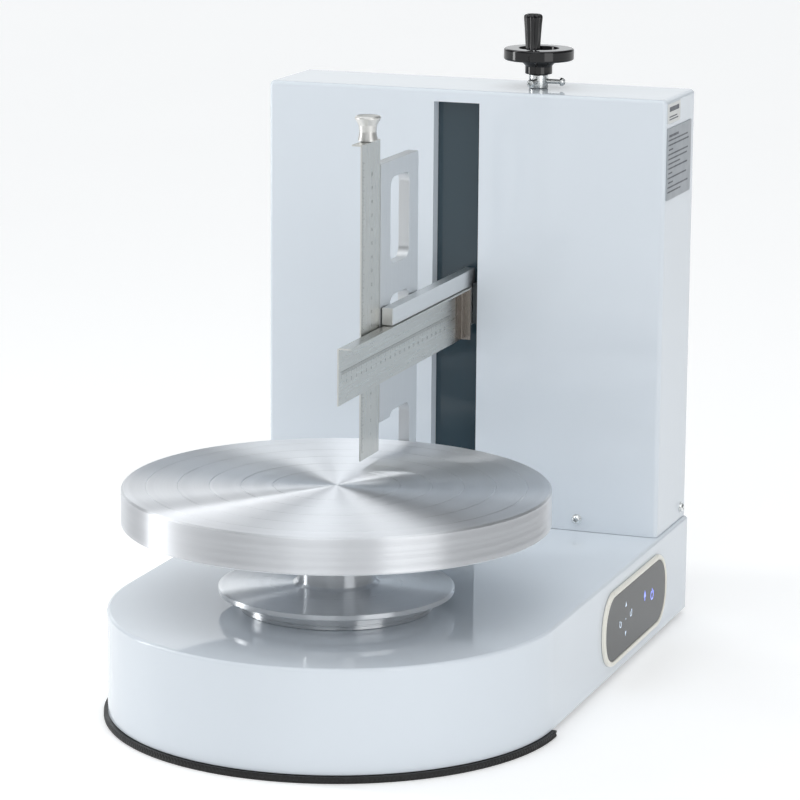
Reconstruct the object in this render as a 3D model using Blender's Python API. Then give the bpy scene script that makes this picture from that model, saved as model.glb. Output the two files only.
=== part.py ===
"""Electric cake turntable with a scraper tower, built as separate pieces on real joints.

Sizes are in millimetres and are measured from the turntable's axis at floor level:
+X is the operator's right, +Y runs back to the tower, +Z is up. world() turns them
into metres in the part's frame, whose origin is the middle of the footprint.
"""

import math

import bmesh
import bpy
from mathutils import Vector

MM = 0.001
GAP = 0.3  # left between pieces that touch

# Base: a semicircle in front and straight sides running back to a flat rear wall.
BASE_R = 163.0
BASE_BACK = 350.0
BASE_Z0 = 5.0
BASE_TOP = 79.3
BASE_WALL = 2.0
BASE_ROOF = 2.5
BASE_EDGE_R = 5.0
STRIP_R = 166.0
STRIP_WIDTH = 10.0
REAR_REACH = 352.0  # face of the power inlet and of the switch frame
AXIS_Y = (STRIP_R - REAR_REACH) / 2  # turntable axis, from the middle of the footprint

# Tower, with the slot that the scraper arm travels in.
TOWER_HALF = 160.0
TOWER_FRONT = 268.0
TOWER_TOP = 416.5
TOWER_WALL = 1.8
TOWER_EDGE_R = 3.5
SLOT_X = (-24.0, 12.7)
SLOT_Z = (100.0, 407.0)
SLOT_DEPTH = 11.0
SLOT_FRAME = 2.0
SLIT_X0 = 8.4  # the slot panel stops here and leaves a slit for the arm's neck

# Turntable and its spindle.
PLATE_R = 152.5
PLATE_TOP = 167.0
SKIRT_Z0 = 140.7
SKIRT_WALL = 4.5
PLATE_THICK = 6.0
COLUMN_R = 27.6
COLUMN_TOP = 141.0
DISC_R = 84.0
RING_R = 69.3
SHAFT_R = 9.7
SPIGOT_R = 8.0
BEARING_R = 21.0
BEARING_H = 12.0

# Belt drive: toothed pulleys at a 5.08 mm pitch.
BELT_PITCH = 5.08
DRIVEN_TEETH = 48
MOTOR_TEETH = 16
MOTOR_Y = 130.0
MOTOR_R = 30.0
MOTOR_SHAFT_R = 4.0
PULLEY_Z = (20.0, 32.0)
PULLEY_FLANGE = 1.2

# Lift: handwheel, lead screw and two guide rods inside the tower.
SCREW_X = 47.5
SCREW_Y = 306.0
SCREW_R = 5.0
ROD_R = 5.0
ROD_REACH = 25.0
BLOCK_X = (8.0, 87.0)
BLOCK_Y = (292.0, 320.0)
CARRIAGE_X = (12.6, 84.0)
CARRIAGE_Y = (294.0, 318.0)
CARRIAGE_Z = (234.0, 270.0)
WHEEL_R = 27.0
WHEEL_Z = (438.2, 447.2)
HUB_Z0 = 427.5
GRIP_REACH = 20.0
GRIP_TURN = math.radians(4.5)  # where the grip stands, from -Y towards +X
GRIP_Z = (447.8, 475.0)
GRIP_X = SCREW_X + GRIP_REACH * math.sin(GRIP_TURN)
GRIP_Y = SCREW_Y - GRIP_REACH * math.cos(GRIP_TURN)
PIN_R = 2.5

# Arm, scraper holder and the two scrapers. The blades hang in the plane X = 0.
BEAM_X = (0.0, 8.0)
BEAM_Y = (91.0, 276.0)
BEAM_Z = (266.0, 278.5)
LEG_Y0 = 268.0
LEG_Z0 = 235.0
NECK_X = (8.7, 12.3)
ARM_SCREW_Y = 272.6
ARM_SCREW_Z = {"lower": 243.0, "upper": 261.0}
HOLDER_X = (-9.4, -1.0)
HOLDER_Y = (89.2, 169.5)
HOLDER_TOP = 383.5
WINDOW_Y = (110.0, 150.0)
WINDOW_R = 8.0
WINDOWS_Z = ((225.0, 284.0), (307.0, 371.0))
FRONT_FOOT_Z = 193.5
NOTCH_TOP = 197.5
REAR_LEG_Y0 = 153.3
REAR_LEG_Z0 = 150.0
MAGNET_R = 5.0
SHEET = 1.0
SIDE_BLADE_Y = (50.0, 88.7)
SIDE_BLADE_Z = (173.0, 402.0)
TOP_BLADE_Y = (0.0, 267.0)
TOP_BLADE_Z = (223.7, 265.4)
TOP_FLANGE = 10.0
KNOB_X = -5.5
KNOB_Y = 74.0

# Touch panel on the right wall of the base.
PANEL_Y = (119.0, 277.0)
PANEL_Z = (17.0, 65.5)
PANEL_R = 22.0
BEZEL_LIP = 4.0
BEZEL_FACE = 166.0

# Rear panel fittings.
INLET_X = -100.0
SWITCH_X = -60.0
FITTING_Z = 42.0
ROCKER_Y = 348.3
ROCKER_TILT = math.radians(8.0)

FINE = 72
ROUND = 28
SMALL = 16

MATERIALS = {
    "white_paint": ((0.80, 0.83, 0.86), 0.25, 0.0),
    "turned_aluminium": ((0.78, 0.78, 0.77), 0.28, 1.0),
    "cast_aluminium": ((0.66, 0.67, 0.67), 0.45, 1.0),
    "stainless_steel": ((0.62, 0.61, 0.58), 0.32, 1.0),
    "zinc_steel": ((0.58, 0.60, 0.60), 0.35, 1.0),
    "ground_steel": ((0.70, 0.70, 0.71), 0.20, 1.0),
    "black_rubber": ((0.025, 0.025, 0.025), 0.80, 0.0),
    "black_plastic": ((0.020, 0.020, 0.022), 0.25, 0.0),
    "slot_dark": ((0.050, 0.080, 0.100), 0.15, 0.0),
    "cream_plastic": ((0.86, 0.84, 0.77), 0.35, 0.0),
    "panel_glass": ((0.080, 0.090, 0.090), 0.12, 0.0),
    "label_film": ((0.42, 0.45, 0.48), 0.45, 0.0),
    "dark_steel": ((0.10, 0.11, 0.12), 0.40, 1.0),
    "bronze": ((0.55, 0.38, 0.18), 0.40, 1.0),
    "circuit_green": ((0.02, 0.16, 0.07), 0.45, 0.0),
    "magnet": ((0.45, 0.45, 0.46), 0.25, 1.0),
}


# ---------------------------------------------------------------- helpers


def world(x, y, z):
    """A place in millimetres from the turntable's axis, in metres in the part's frame."""
    return Vector((x, y + AXIS_Y, z)) * MM


def clear_scene():
    for obj in list(bpy.data.objects):
        bpy.data.objects.remove(obj, do_unlink=True)


def make_materials():
    made = {}
    for name, (colour, roughness, metallic) in MATERIALS.items():
        material = bpy.data.materials.new(name)
        material.use_nodes = True
        shader = material.node_tree.nodes["Principled BSDF"]
        shader.inputs["Base Color"].default_value = (*colour, 1.0)
        shader.inputs["Roughness"].default_value = roughness
        shader.inputs["Metallic"].default_value = metallic
        made[name] = material
    return made


def add_body(name, place, parent=None):
    """An empty on a joint's axis. The pieces that move with the joint are its children."""
    empty = bpy.data.objects.new(name, None)
    bpy.context.collection.objects.link(empty)
    empty["at"] = place
    empty.parent = parent
    start = Vector(parent["at"]) if parent else Vector((0, 0, 0))
    empty.location = Vector(place) - start
    return empty


def arc(cu, cv, radius, start, end, steps):
    """Points along an arc, both ends included, with the angles in degrees."""
    angles = [math.radians(start + (end - start) * i / steps) for i in range(steps + 1)]
    return [(cu + radius * math.cos(a), cv + radius * math.sin(a)) for a in angles]


def rounded(u, v, radius, steps=6):
    """The outline of a rounded rectangle that spans u and v."""
    corners = (
        (u[1] - radius, v[0] + radius, -90),
        (u[1] - radius, v[1] - radius, 0),
        (u[0] + radius, v[1] - radius, 90),
        (u[0] + radius, v[0] + radius, 180),
    )
    outline = []
    for cu, cv, start in corners:
        outline += arc(cu, cv, radius, start, start + 90, steps)
    return outline


def circle(radius, steps, centre=(0.0, 0.0)):
    return arc(centre[0], centre[1], radius, 0, 360 - 360 / steps, steps - 1)


def base_outline(inset, steps=36, corner=4.0):
    """The base's plan, moved inwards by inset."""
    side = BASE_R - inset
    back = BASE_BACK - inset
    radius = max(corner - inset, 0.5)
    outline = arc(0, 0, side, 180, 360, steps)
    outline += arc(side - radius, back - radius, radius, 0, 90, 4)
    outline += arc(radius - side, back - radius, radius, 90, 180, 4)
    return outline


def shell_of(rings, closed=False):
    """A closed mesh through rings of points. A ring of one point is a pole."""
    mesh = bmesh.new()
    rows = [[mesh.verts.new(world(*point)) for point in ring] for ring in rings]
    pairs = list(zip(rows, rows[1:]))
    if closed:
        pairs.append((rows[-1], rows[0]))
    for first, second in pairs:
        count = max(len(first), len(second))
        for i in range(count):
            j = (i + 1) % count
            corners = [first[i % len(first)], first[j % len(first)]]
            corners += [second[j % len(second)], second[i % len(second)]]
            mesh.faces.new(list(dict.fromkeys(corners)))
    if not closed:
        for row in (rows[0], rows[-1]):
            if len(row) > 2:
                mesh.faces.new(row)
    bmesh.ops.recalc_face_normals(mesh, faces=mesh.faces)
    return mesh


def prism(outline, low, high, axis="z"):
    """An outline pulled along an axis. It is in (x, y), (x, z) or (y, z), in that order."""
    spots = {
        "z": lambda u, v, w: (u, v, w),
        "y": lambda u, v, w: (u, w, v),
        "x": lambda u, v, w: (w, u, v),
    }
    spot = spots[axis]
    return shell_of([[spot(u, v, w) for u, v in outline] for w in (low, high)])


def band(outer, inner, low, high):
    """A flat ring between two outlines with the same number of points."""
    rings = [[(x, y, low) for x, y in outer], [(x, y, high) for x, y in outer]]
    rings += [[(x, y, high) for x, y in inner], [(x, y, low) for x, y in inner]]
    return shell_of(rings, closed=True)


def block(x, y, z):
    return prism([(x[0], y[0]), (x[1], y[0]), (x[1], y[1]), (x[0], y[1])], z[0], z[1])


def turned(profile, centre=(0.0, 0.0), steps=ROUND):
    """A profile of (radius, z) turned about a vertical axis: open at poles, or a ring."""
    rings = []
    for radius, z in profile:
        if radius == 0:
            rings.append([(centre[0], centre[1], z)])
        else:
            rings.append([(x, y, z) for x, y in circle(radius, steps, centre)])
    return shell_of(rings, closed=profile[0][0] > 0)


def rod(radius, low, high, centre, axis="z", steps=SMALL):
    """A plain round bar along an axis. centre is in the other two axes, in order."""
    return prism(circle(radius, steps, centre), low, high, axis)


def ring_of(inner, outer, z, centre=(0.0, 0.0), steps=ROUND):
    profile = [(inner, z[0]), (outer, z[0]), (outer, z[1]), (inner, z[1])]
    return turned(profile, centre, steps)


def link_mesh(name, mesh, origin):
    bmesh.ops.translate(mesh, verts=mesh.verts, vec=-origin)
    data = bpy.data.meshes.new(name)
    mesh.to_mesh(data)
    mesh.free()
    obj = bpy.data.objects.new(name, data)
    bpy.context.collection.objects.link(obj)
    return obj


def piece(name, mesh, material, body=None, sharp=30):
    """One node: its mesh, its material and the body that it moves with."""
    origin = Vector(body["at"]) if body else Vector((0, 0, 0))
    obj = link_mesh(name, mesh, origin)
    obj.parent = body
    obj.data.materials.append(material)
    obj.data.shade_smooth()
    obj.data.set_sharp_from_angle(angle=math.radians(sharp))
    return obj


def combine(obj, tools, operation="DIFFERENCE"):
    """Cuts each tool's mesh from the object, or joins it on."""
    for number, mesh in enumerate(tools):
        word = "cutter" if operation == "DIFFERENCE" else "joined"
        tool = link_mesh(f"{obj.name}_{word}_{number}", mesh, Vector((0, 0, 0)))
        tool.hide_render = True
        tool.display_type = "WIRE"
        boolean = obj.modifiers.new(tool.name, "BOOLEAN")
        boolean.operation = operation
        boolean.solver = "EXACT"
        boolean.object = tool
    return obj


def soften(obj, width, segments=1):
    bevel = obj.modifiers.new("soft_edges", "BEVEL")
    bevel.width = width * MM
    bevel.segments = segments
    bevel.limit_method = "ANGLE"
    bevel.angle_limit = math.radians(50)
    return obj


# ---------------------------------------------------------------- base


def base_layers():
    """(inset, z) from the inside of the roof, down, round the foot and up over the edge."""
    layers = [(BASE_WALL, BASE_TOP - BASE_ROOF), (BASE_WALL, BASE_Z0), (0.0, BASE_Z0)]
    edge = arc(BASE_EDGE_R, BASE_TOP - BASE_EDGE_R, BASE_EDGE_R, 180, 90, 4)
    return layers + edge


def make_base(m):
    rings = [[(x, y, z) for x, y in base_outline(inset)] for inset, z in base_layers()]
    housing = piece("base_housing", shell_of(rings), m["white_paint"])
    roof = (BASE_TOP - 8, BASE_TOP + 5)
    rear = (BASE_BACK - 8, BASE_BACK + 5)
    holes = [
        rod(34, roof[0], roof[1], (0, 0), steps=ROUND),
        block((-110, -40), (290, 335), roof),
        block((BASE_R - 8, BASE_R + 5), (170, 235), (28, 54)),
        block((INLET_X - 14, INLET_X + 14), rear, (FITTING_Z - 10, FITTING_Z + 10)),
        block((SWITCH_X - 11.4, SWITCH_X + 11.4), rear, (FITTING_Z - 8.4, FITTING_Z + 8.4)),
    ]
    for number in range(7):
        x = 40 + 14 * number
        holes.append(block((x, x + 5), rear, (24, 58)))
    combine(housing, holes)

    z = (BASE_Z0 + GAP, BASE_Z0 + GAP + 1.5)
    plate = piece("base_plate", prism(base_outline(BASE_WALL + GAP), z[0], z[1]), m["zinc_steel"])
    slots = []
    for number in range(5):
        y = 100 + 14 * number
        slots.append(block((-40, 40), (y, y + 4), (z[0] - 3, z[1] + 3)))
    combine(plate, slots)

    strip_top = BASE_Z0 - GAP
    outer = arc(0, 0, STRIP_R, 180, 360, 30)
    inner = arc(0, 0, STRIP_R - STRIP_WIDTH, 360, 180, 30)
    piece("front_rubber_strip", prism(outer + inner, 0, strip_top), m["black_rubber"])
    for side, x in (("left", -125), ("right", 125)):
        foot = [(0, 0), (13, 0), (15, 1.5), (15, BASE_Z0 - 0.5), (0, BASE_Z0 - 0.5)]
        piece(f"rear_foot_{side}", turned(foot, (x, 318), 24), m["black_rubber"])


# ---------------------------------------------------------------- tower


def tower_outline(inset):
    radius = max(TOWER_EDGE_R - inset, 0.5)
    x = (inset - TOWER_HALF, TOWER_HALF - inset)
    y = (TOWER_FRONT + inset, BASE_BACK - inset)
    return rounded(x, y, radius, 3)


def make_tower(m):
    low = BASE_TOP + GAP
    layers = [(0.0, low)] + arc(
        TOWER_EDGE_R, TOWER_TOP - TOWER_EDGE_R, TOWER_EDGE_R, 180, 90, 3
    )
    rings = [[(x, y, z) for x, y in tower_outline(inset)] for inset, z in layers]
    shell = piece("tower_shell", shell_of(rings), m["white_paint"])
    inside = (TOWER_WALL - TOWER_HALF, TOWER_HALF - TOWER_WALL)
    roof = TOWER_TOP - TOWER_WALL
    frame_back = TOWER_FRONT + SLOT_DEPTH
    frame_x = (SLOT_X[0] - SLOT_FRAME, SLOT_X[1] + SLOT_FRAME)
    frame_z = (SLOT_Z[0] - SLOT_FRAME, SLOT_Z[1] + SLOT_FRAME)
    combine(shell, [block(inside, (TOWER_FRONT + TOWER_WALL, BASE_BACK + 5), (low - 5, roof))])
    combine(shell, [block(frame_x, (TOWER_FRONT + 1, frame_back), frame_z)], "UNION")
    combine(
        shell,
        [
            block(SLOT_X, (TOWER_FRONT - 5, frame_back + 5), SLOT_Z),
            rod(6.2, roof - 5, TOWER_TOP + 5, (SCREW_X, SCREW_Y)),
        ],
    )

    cover_x = (inside[0] + GAP, inside[1] - GAP)
    cover_z = (low + 0.4, roof - GAP)
    cover_y = (BASE_BACK - TOWER_WALL, BASE_BACK)
    cover = piece("tower_rear_cover", block(cover_x, cover_y, cover_z), m["white_paint"])
    louvres = []
    for row in range(5):
        z = 120 + 12 * row
        for x in (-110, 50):
            louvres.append(block((x, x + 60), (cover_y[0] - 3, cover_y[1] + 3), (z, z + 4)))
    combine(cover, louvres)

    piece(
        "slot_panel",
        block((SLOT_X[0] - 6, SLIT_X0), (frame_back + GAP, frame_back + 1.8), (96, 411)),
        m["slot_dark"],
    )

    x = (cover_x[0], cover_x[1])
    y = (TOWER_FRONT + TOWER_WALL + GAP, cover_y[0] - GAP)
    frame = piece("tower_floor_frame", block(x, y, (low, 97.5)), m["zinc_steel"])
    combine(
        frame,
        [
            block((x[0] + 2, x[1] - 2), (y[0] + 2, y[1] - 2), (low + 2, 105)),
            block((x[0] + 14, x[1] - 14), (y[0] + 14, y[1] - 14), (low - 5, low + 5)),
        ],
    )
    make_tower_screws(m)
    piece(
        "info_label",
        block((TOWER_HALF + GAP, TOWER_HALF + 0.7), (272, 338), (340, 392)),
        m["label_film"],
    )


def make_tower_screws(m):
    """Pan-head screws with washers, through the tower's wall into the floor frame."""
    z = 88.7
    frame_holes = []
    shell_holes = []
    for side, sign in (("left", -1), ("right", 1)):
        front = sign * 96.0
        wall = TOWER_FRONT - GAP
        screw = piece(
            f"tower_screw_front_{side}",
            rod(4.1, wall - 0.8, wall, (front, z), "y"),
            m["zinc_steel"],
        )
        head = rod(3.4, wall - 3.0, wall - 0.6, (front, z), "y")
        shank = rod(1.7, wall - 1, wall + 7, (front, z), "y", 12)
        combine(screw, [head, shank], "UNION")
        shell_holes.append(rod(2.1, wall - 3, wall + 9, (front, z), "y", 12))
        frame_holes.append(rod(2.1, wall - 3, wall + 9, (front, z), "y", 12))

        wall = sign * (TOWER_HALF + GAP)
        out = [wall, wall + sign * 0.8]
        screw = piece(
            f"tower_screw_side_{side}",
            rod(4.1, min(out), max(out), (334.5, z), "x"),
            m["zinc_steel"],
        )
        reach = [wall + sign * 0.6, wall + sign * 3.0]
        head = rod(3.4, min(reach), max(reach), (334.5, z), "x")
        depth = [wall + sign * 0.7, wall - sign * 7]
        shank = rod(1.7, min(depth), max(depth), (334.5, z), "x", 12)
        combine(screw, [head, shank], "UNION")
        depth = [wall + sign * 3, wall - sign * 9]
        shell_holes.append(rod(2.1, min(depth), max(depth), (334.5, z), "x", 12))
        frame_holes.append(rod(2.1, min(depth), max(depth), (334.5, z), "x", 12))
    combine(bpy.data.objects["tower_shell"], shell_holes)
    combine(bpy.data.objects["tower_floor_frame"], frame_holes)


# ---------------------------------------------------------------- turntable and drive


def make_spindle_housing(m):
    bore = BEARING_R + GAP
    profile = [
        (bore, 89.5),
        (RING_R - 1, 89.5),
        (RING_R, 88.5),
        (RING_R, BASE_TOP + GAP),
        (32, BASE_TOP + GAP),
        (32, 36),
        (bore, 36),
        (bore, 49),
        (17, 49),
        (17, 76.5),
        (bore, 76.5),
    ]
    piece("spindle_housing", turned(profile, steps=36), m["turned_aluminium"])
    for word, z in (("lower", 36.5), ("upper", 76.8)):
        bearing = ring_of(SHAFT_R + GAP, BEARING_R, (z, z + BEARING_H))
        piece(f"{word}_spindle_bearing", bearing, m["ground_steel"])


def make_turntable(m, body):
    r = PLATE_R
    profile = [
        (0, PLATE_TOP),
        (r - 1.3, PLATE_TOP),
        (r, PLATE_TOP - 1.3),
        (r, SKIRT_Z0 + 1),
        (r - 1, SKIRT_Z0),
        (r - SKIRT_WALL, SKIRT_Z0),
        (r - SKIRT_WALL, PLATE_TOP - PLATE_THICK),
        (31, PLATE_TOP - PLATE_THICK),
        (28, COLUMN_TOP + GAP),
        (SPIGOT_R + GAP, COLUMN_TOP + GAP),
        (SPIGOT_R + GAP, 156.5),
        (0, 156.5),
    ]
    piece("turntable_plate", turned(profile, steps=FINE), m["turned_aluminium"], body)

    bore = SHAFT_R + GAP
    profile = [
        (bore, 90.3),
        (DISC_R - 0.8, 90.3),
        (DISC_R, 91.1),
        (DISC_R, 93.8),
        (DISC_R - 0.7, 94.5),
        (COLUMN_R + 3.5, 96.4),
        (COLUMN_R + 1.2, 97.2),
        (COLUMN_R, 99.2),
        (COLUMN_R, COLUMN_TOP),
        (bore, COLUMN_TOP),
    ]
    piece("hub_column", turned(profile, steps=40), m["turned_aluminium"], body)

    low = PULLEY_Z[0] - 3
    profile = [
        (0, low),
        (SHAFT_R, low),
        (SHAFT_R, COLUMN_TOP - GAP),
        (SPIGOT_R, COLUMN_TOP - GAP),
        (SPIGOT_R, 155),
        (0, 155),
    ]
    piece("spindle_shaft", turned(profile, steps=32), m["ground_steel"], body)
    piece("driven_pulley", pulley(DRIVEN_TEETH, bore, (0, 0), 32), m["cast_aluminium"], body)


def pitch_radius(teeth):
    return teeth * BELT_PITCH / (2 * math.pi)


def pulley(teeth, bore, centre, steps):
    low, high = PULLEY_Z
    rim = pitch_radius(teeth) - 0.8
    flange = rim + 3
    profile = [
        (bore, low),
        (flange, low),
        (flange, low + PULLEY_FLANGE),
        (rim, low + PULLEY_FLANGE),
        (rim, high - PULLEY_FLANGE),
        (flange, high - PULLEY_FLANGE),
        (flange, high),
        (bore, high),
    ]
    return turned(profile, centre, steps)


def belt_loop(extra, steps=10):
    """The belt's path round both pulleys, moved outwards by extra."""
    big = pitch_radius(DRIVEN_TEETH) + extra
    small = pitch_radius(MOTOR_TEETH) + extra
    tilt = math.degrees(math.asin((big - small) / MOTOR_Y))
    loop = arc(0, 0, big, 180 - tilt, 360 + tilt, 2 * steps)
    return loop + arc(0, MOTOR_Y, small, tilt, 180 - tilt, steps)


def make_drive(m, body):
    spot = (0.0, MOTOR_Y)
    boss_z = PULLEY_Z[1] + 1
    bracket_z = (boss_z + 0.5, boss_z + 3)
    foot = bracket_z[1] + GAP
    profile = [
        (0, 74),
        (MOTOR_R - 1, 74),
        (MOTOR_R, 73),
        (MOTOR_R, foot),
        (12, foot),
        (12, boss_z),
        (MOTOR_SHAFT_R + GAP, boss_z),
        (MOTOR_SHAFT_R + GAP, 50),
        (0, 50),
    ]
    piece("drive_motor", turned(profile, spot, 16), m["zinc_steel"])

    top = BASE_TOP - BASE_ROOF - GAP
    low, high = bracket_z
    thick = high - low
    right = [(57, top), (57, top - thick), (47, top - thick), (47, low)]
    left = [(-x, z) for x, z in reversed(right)]
    inner = [(-47 + thick, high), (47 - thick, high)]
    hat = right + left + [(-47 + thick, top), inner[0], inner[1], (47 - thick, top)]
    bracket = piece("motor_bracket", prism(hat, 90, 170, "y"), m["zinc_steel"])
    combine(bracket, [rod(12.4, low - 5, high + 5, spot, steps=32)])

    low, high = PULLEY_Z
    belt = band(belt_loop(1.6), belt_loop(-0.3), low + 2, high - 2)
    piece("timing_belt", belt, m["black_rubber"])
    piece(
        "motor_shaft",
        rod(MOTOR_SHAFT_R, low - 1, 49.6, spot),
        m["ground_steel"],
        body,
    )
    bore = MOTOR_SHAFT_R + GAP
    piece("motor_pulley", pulley(MOTOR_TEETH, bore, spot, 20), m["cast_aluminium"], body)


def make_electrics(m):
    piece("power_supply", block((-145, -65), (225, 315), (9, 44)), m["cast_aluminium"])
    board = piece("control_board", block((70, 145), (175, 255), (12, 13.6)), m["circuit_green"])
    parts = [
        block((80, 100), (185, 215), (13, 28)),
        block((108, 122), (190, 204), (13, 17)),
        block((112, 136), (222, 246), (13, 24)),
        rod(6, 13, 30, (90, 236), steps=16),
    ]
    combine(board, parts, "UNION")


# ---------------------------------------------------------------- controls


def make_controls(m):
    lip = BEZEL_LIP
    outer_y = (PANEL_Y[0] - lip, PANEL_Y[1] + lip)
    outer_z = (PANEL_Z[0] - lip, PANEL_Z[1] + lip)
    outer = rounded(outer_y, outer_z, PANEL_R + lip, 8)
    inner_y = (PANEL_Y[0] - GAP, PANEL_Y[1] + GAP)
    inner_z = (PANEL_Z[0] - GAP, PANEL_Z[1] + GAP)
    inner = rounded(inner_y, inner_z, PANEL_R + GAP, 8)
    back = BASE_R + GAP
    rings = [[(x, y, z) for y, z in outer] for x in (back, BEZEL_FACE - 1)]
    shy_y = (outer_y[0] + 1, outer_y[1] - 1)
    shy_z = (outer_z[0] + 1, outer_z[1] - 1)
    rings.append([(BEZEL_FACE, y, z) for y, z in rounded(shy_y, shy_z, PANEL_R + lip - 1, 8)])
    rings += [[(x, y, z) for y, z in inner] for x in (BEZEL_FACE, back)]
    piece("control_bezel", shell_of(rings, closed=True), m["cream_plastic"])

    face = prism(rounded(PANEL_Y, PANEL_Z, PANEL_R, 8), back, BEZEL_FACE - 0.6, "x")
    panel = piece("control_panel", face, m["panel_glass"])
    combine(panel, [block((150, back + 1), (172, 233), (30, 52))], "UNION")


def make_inlet(m):
    """Mains socket: a flanged body with a pocket and three blades in it."""
    x, z = INLET_X, FITTING_Z
    flange = block((x - 17, x + 17), (BASE_BACK + GAP, REAR_REACH), (z - 12, z + 12))
    inlet = piece("power_inlet", flange, m["black_plastic"])
    body = block((x - 13.5, x + 13.5), (325, BASE_BACK + 1), (z - 9.5, z + 9.5))
    combine(inlet, [body], "UNION")
    combine(inlet, [block((x - 12, x + 12), (334, REAR_REACH + 3), (z - 8, z + 8))])
    blades = []
    for dx, dz in ((-7, -2), (0, 2), (7, -2)):
        blades.append(block((x + dx - 1, x + dx + 1), (333, 346), (z + dz - 2, z + dz + 2)))
    combine(inlet, blades, "UNION")


def make_switch(m, body):
    x, z = SWITCH_X, FITTING_Z
    flange = block((x - 13, x + 13), (BASE_BACK + GAP, REAR_REACH), (z - 10, z + 10))
    frame = piece("switch_frame", flange, m["black_plastic"])
    case = block((x - 11, x + 11), (330, BASE_BACK + 1), (z - 8, z + 8))
    combine(frame, [case], "UNION")
    combine(frame, [block((x - 10, x + 10), (338, REAR_REACH + 3), (z - 7.2, z + 7.2))])
    profile = [(2.6, 6.2), (0.8, 0.0), (2.6, -6.2)]
    profile += [(-1.5, -6.2), (-5.0, -3.5), (-5.0, 3.5), (-1.5, 6.2)]
    lean = []
    for dy, dz in profile:
        y = ROCKER_Y + dy * math.cos(ROCKER_TILT) - dz * math.sin(ROCKER_TILT)
        lean.append((y, z + dy * math.sin(ROCKER_TILT) + dz * math.cos(ROCKER_TILT)))
    piece("power_rocker", prism(lean, x - 9.6, x + 9.6, "x"), m["black_plastic"], body)


# ---------------------------------------------------------------- lift


def make_guides(m):
    spots = [(SCREW_X - ROD_REACH, SCREW_Y), (SCREW_X + ROD_REACH, SCREW_Y)]
    screw = (SCREW_X, SCREW_Y)
    low = (BASE_TOP + GAP, BASE_TOP + GAP + 18)
    high = (396.0, TOWER_TOP - TOWER_WALL - GAP)
    rod_z = (84.3, 409.7)

    lower = piece("lower_guide_block", block(BLOCK_X, BLOCK_Y, low), m["cast_aluminium"])
    cuts = [rod(ROD_R + GAP, rod_z[0] - GAP, low[1] + 5, spot, steps=16) for spot in spots]
    cuts.append(rod(11.3, 88, low[1] + 5, screw, steps=16))
    cuts.append(rod(6, low[0] - 5, 90, screw))
    combine(lower, cuts)
    upper = piece("upper_guide_block", block(BLOCK_X, BLOCK_Y, high), m["cast_aluminium"])
    cuts = [rod(ROD_R + GAP, high[0] - 5, rod_z[1] + GAP, spot, steps=16) for spot in spots]
    cuts.append(rod(11.3, high[0] - 5, 405, screw, steps=16))
    cuts.append(rod(6, 403, high[1] + 5, screw))
    combine(upper, cuts)

    bearing_z = {"lower": (88.3, 97.3), "upper": (396.3, 404.7)}
    for word, z in bearing_z.items():
        ring = ring_of(SCREW_R + GAP, 11, z, screw, 16)
        piece(f"{word}_screw_bearing", ring, m["ground_steel"])
    for side, spot in zip(("left", "right"), spots):
        piece(f"guide_rod_{side}", rod(ROD_R, rod_z[0], rod_z[1], spot), m["ground_steel"])


def make_handwheel(m, body, grip_body):
    spot = (SCREW_X, SCREW_Y)
    bore = SCREW_R + GAP
    low, high = WHEEL_Z
    profile = [
        (bore, HUB_Z0),
        (10.5, HUB_Z0),
        (10.5, 434),
        (11.5, 436.4),
        (14, low),
        (WHEEL_R - 0.8, low),
        (WHEEL_R, low + 0.8),
        (WHEEL_R, high - 0.8),
        (WHEEL_R - 0.8, high),
        (15.5, high),
        (15.0, 441),
        (9, 441),
        (9, 445),
        (bore, 445),
    ]
    wheel = piece("handwheel", turned(profile, spot, 32), m["black_plastic"], body)
    grip_spot = (GRIP_X, GRIP_Y)
    combine(wheel, [rod(PIN_R + GAP, 441, high + 5, grip_spot)])

    screw = rod(SCREW_R, 84, 443, spot, steps=16)
    piece("lead_screw", screw, m["ground_steel"], body)
    collar_z = (TOWER_TOP + GAP, HUB_Z0 - GAP)
    collar = piece("stop_collar", ring_of(bore, 7.5, collar_z, spot, 24), m["zinc_steel"], body)
    z = 422.0
    holes = [
        rod(2.1, SCREW_X + 3, SCREW_X + 12, (SCREW_Y, z), "x", 12),
        rod(2.1, SCREW_Y - 12, SCREW_Y - 3, (SCREW_X, z), "y", 12),
    ]
    combine(collar, holes)

    right = rod(1.8, SCREW_X + 5.8, SCREW_X + 18, (SCREW_Y, z), "x", 12)
    right = piece("collar_screw_right", right, m["zinc_steel"], body)
    head = rod(3.2, SCREW_X + 17.8, SCREW_X + 21, (SCREW_Y, z), "x", 16)
    combine(right, [head], "UNION")
    front = rod(1.8, SCREW_Y - 18, SCREW_Y - 5.8, (SCREW_X, z), "y", 12)
    front = piece("collar_screw_front", front, m["zinc_steel"], body)
    head = rod(3.2, SCREW_Y - 21, SCREW_Y - 17.8, (SCREW_X, z), "y", 16)
    combine(front, [head], "UNION")

    piece("handle_pin", rod(PIN_R, 441.3, 470, grip_spot, steps=16), m["ground_steel"], body)
    low, high = GRIP_Z
    profile = [
        (0, high),
        (6.0, high),
        (7.2, high - 1.6),
        (7.3, high - 3),
        (6.4, high - 14),
        (5.7, low + 2),
        (5.6, low),
        (PIN_R + GAP, low),
        (PIN_R + GAP, 470.5),
        (0, 470.5),
    ]
    piece("handle_grip", turned(profile, grip_spot, 16), m["black_plastic"], grip_body)


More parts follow.
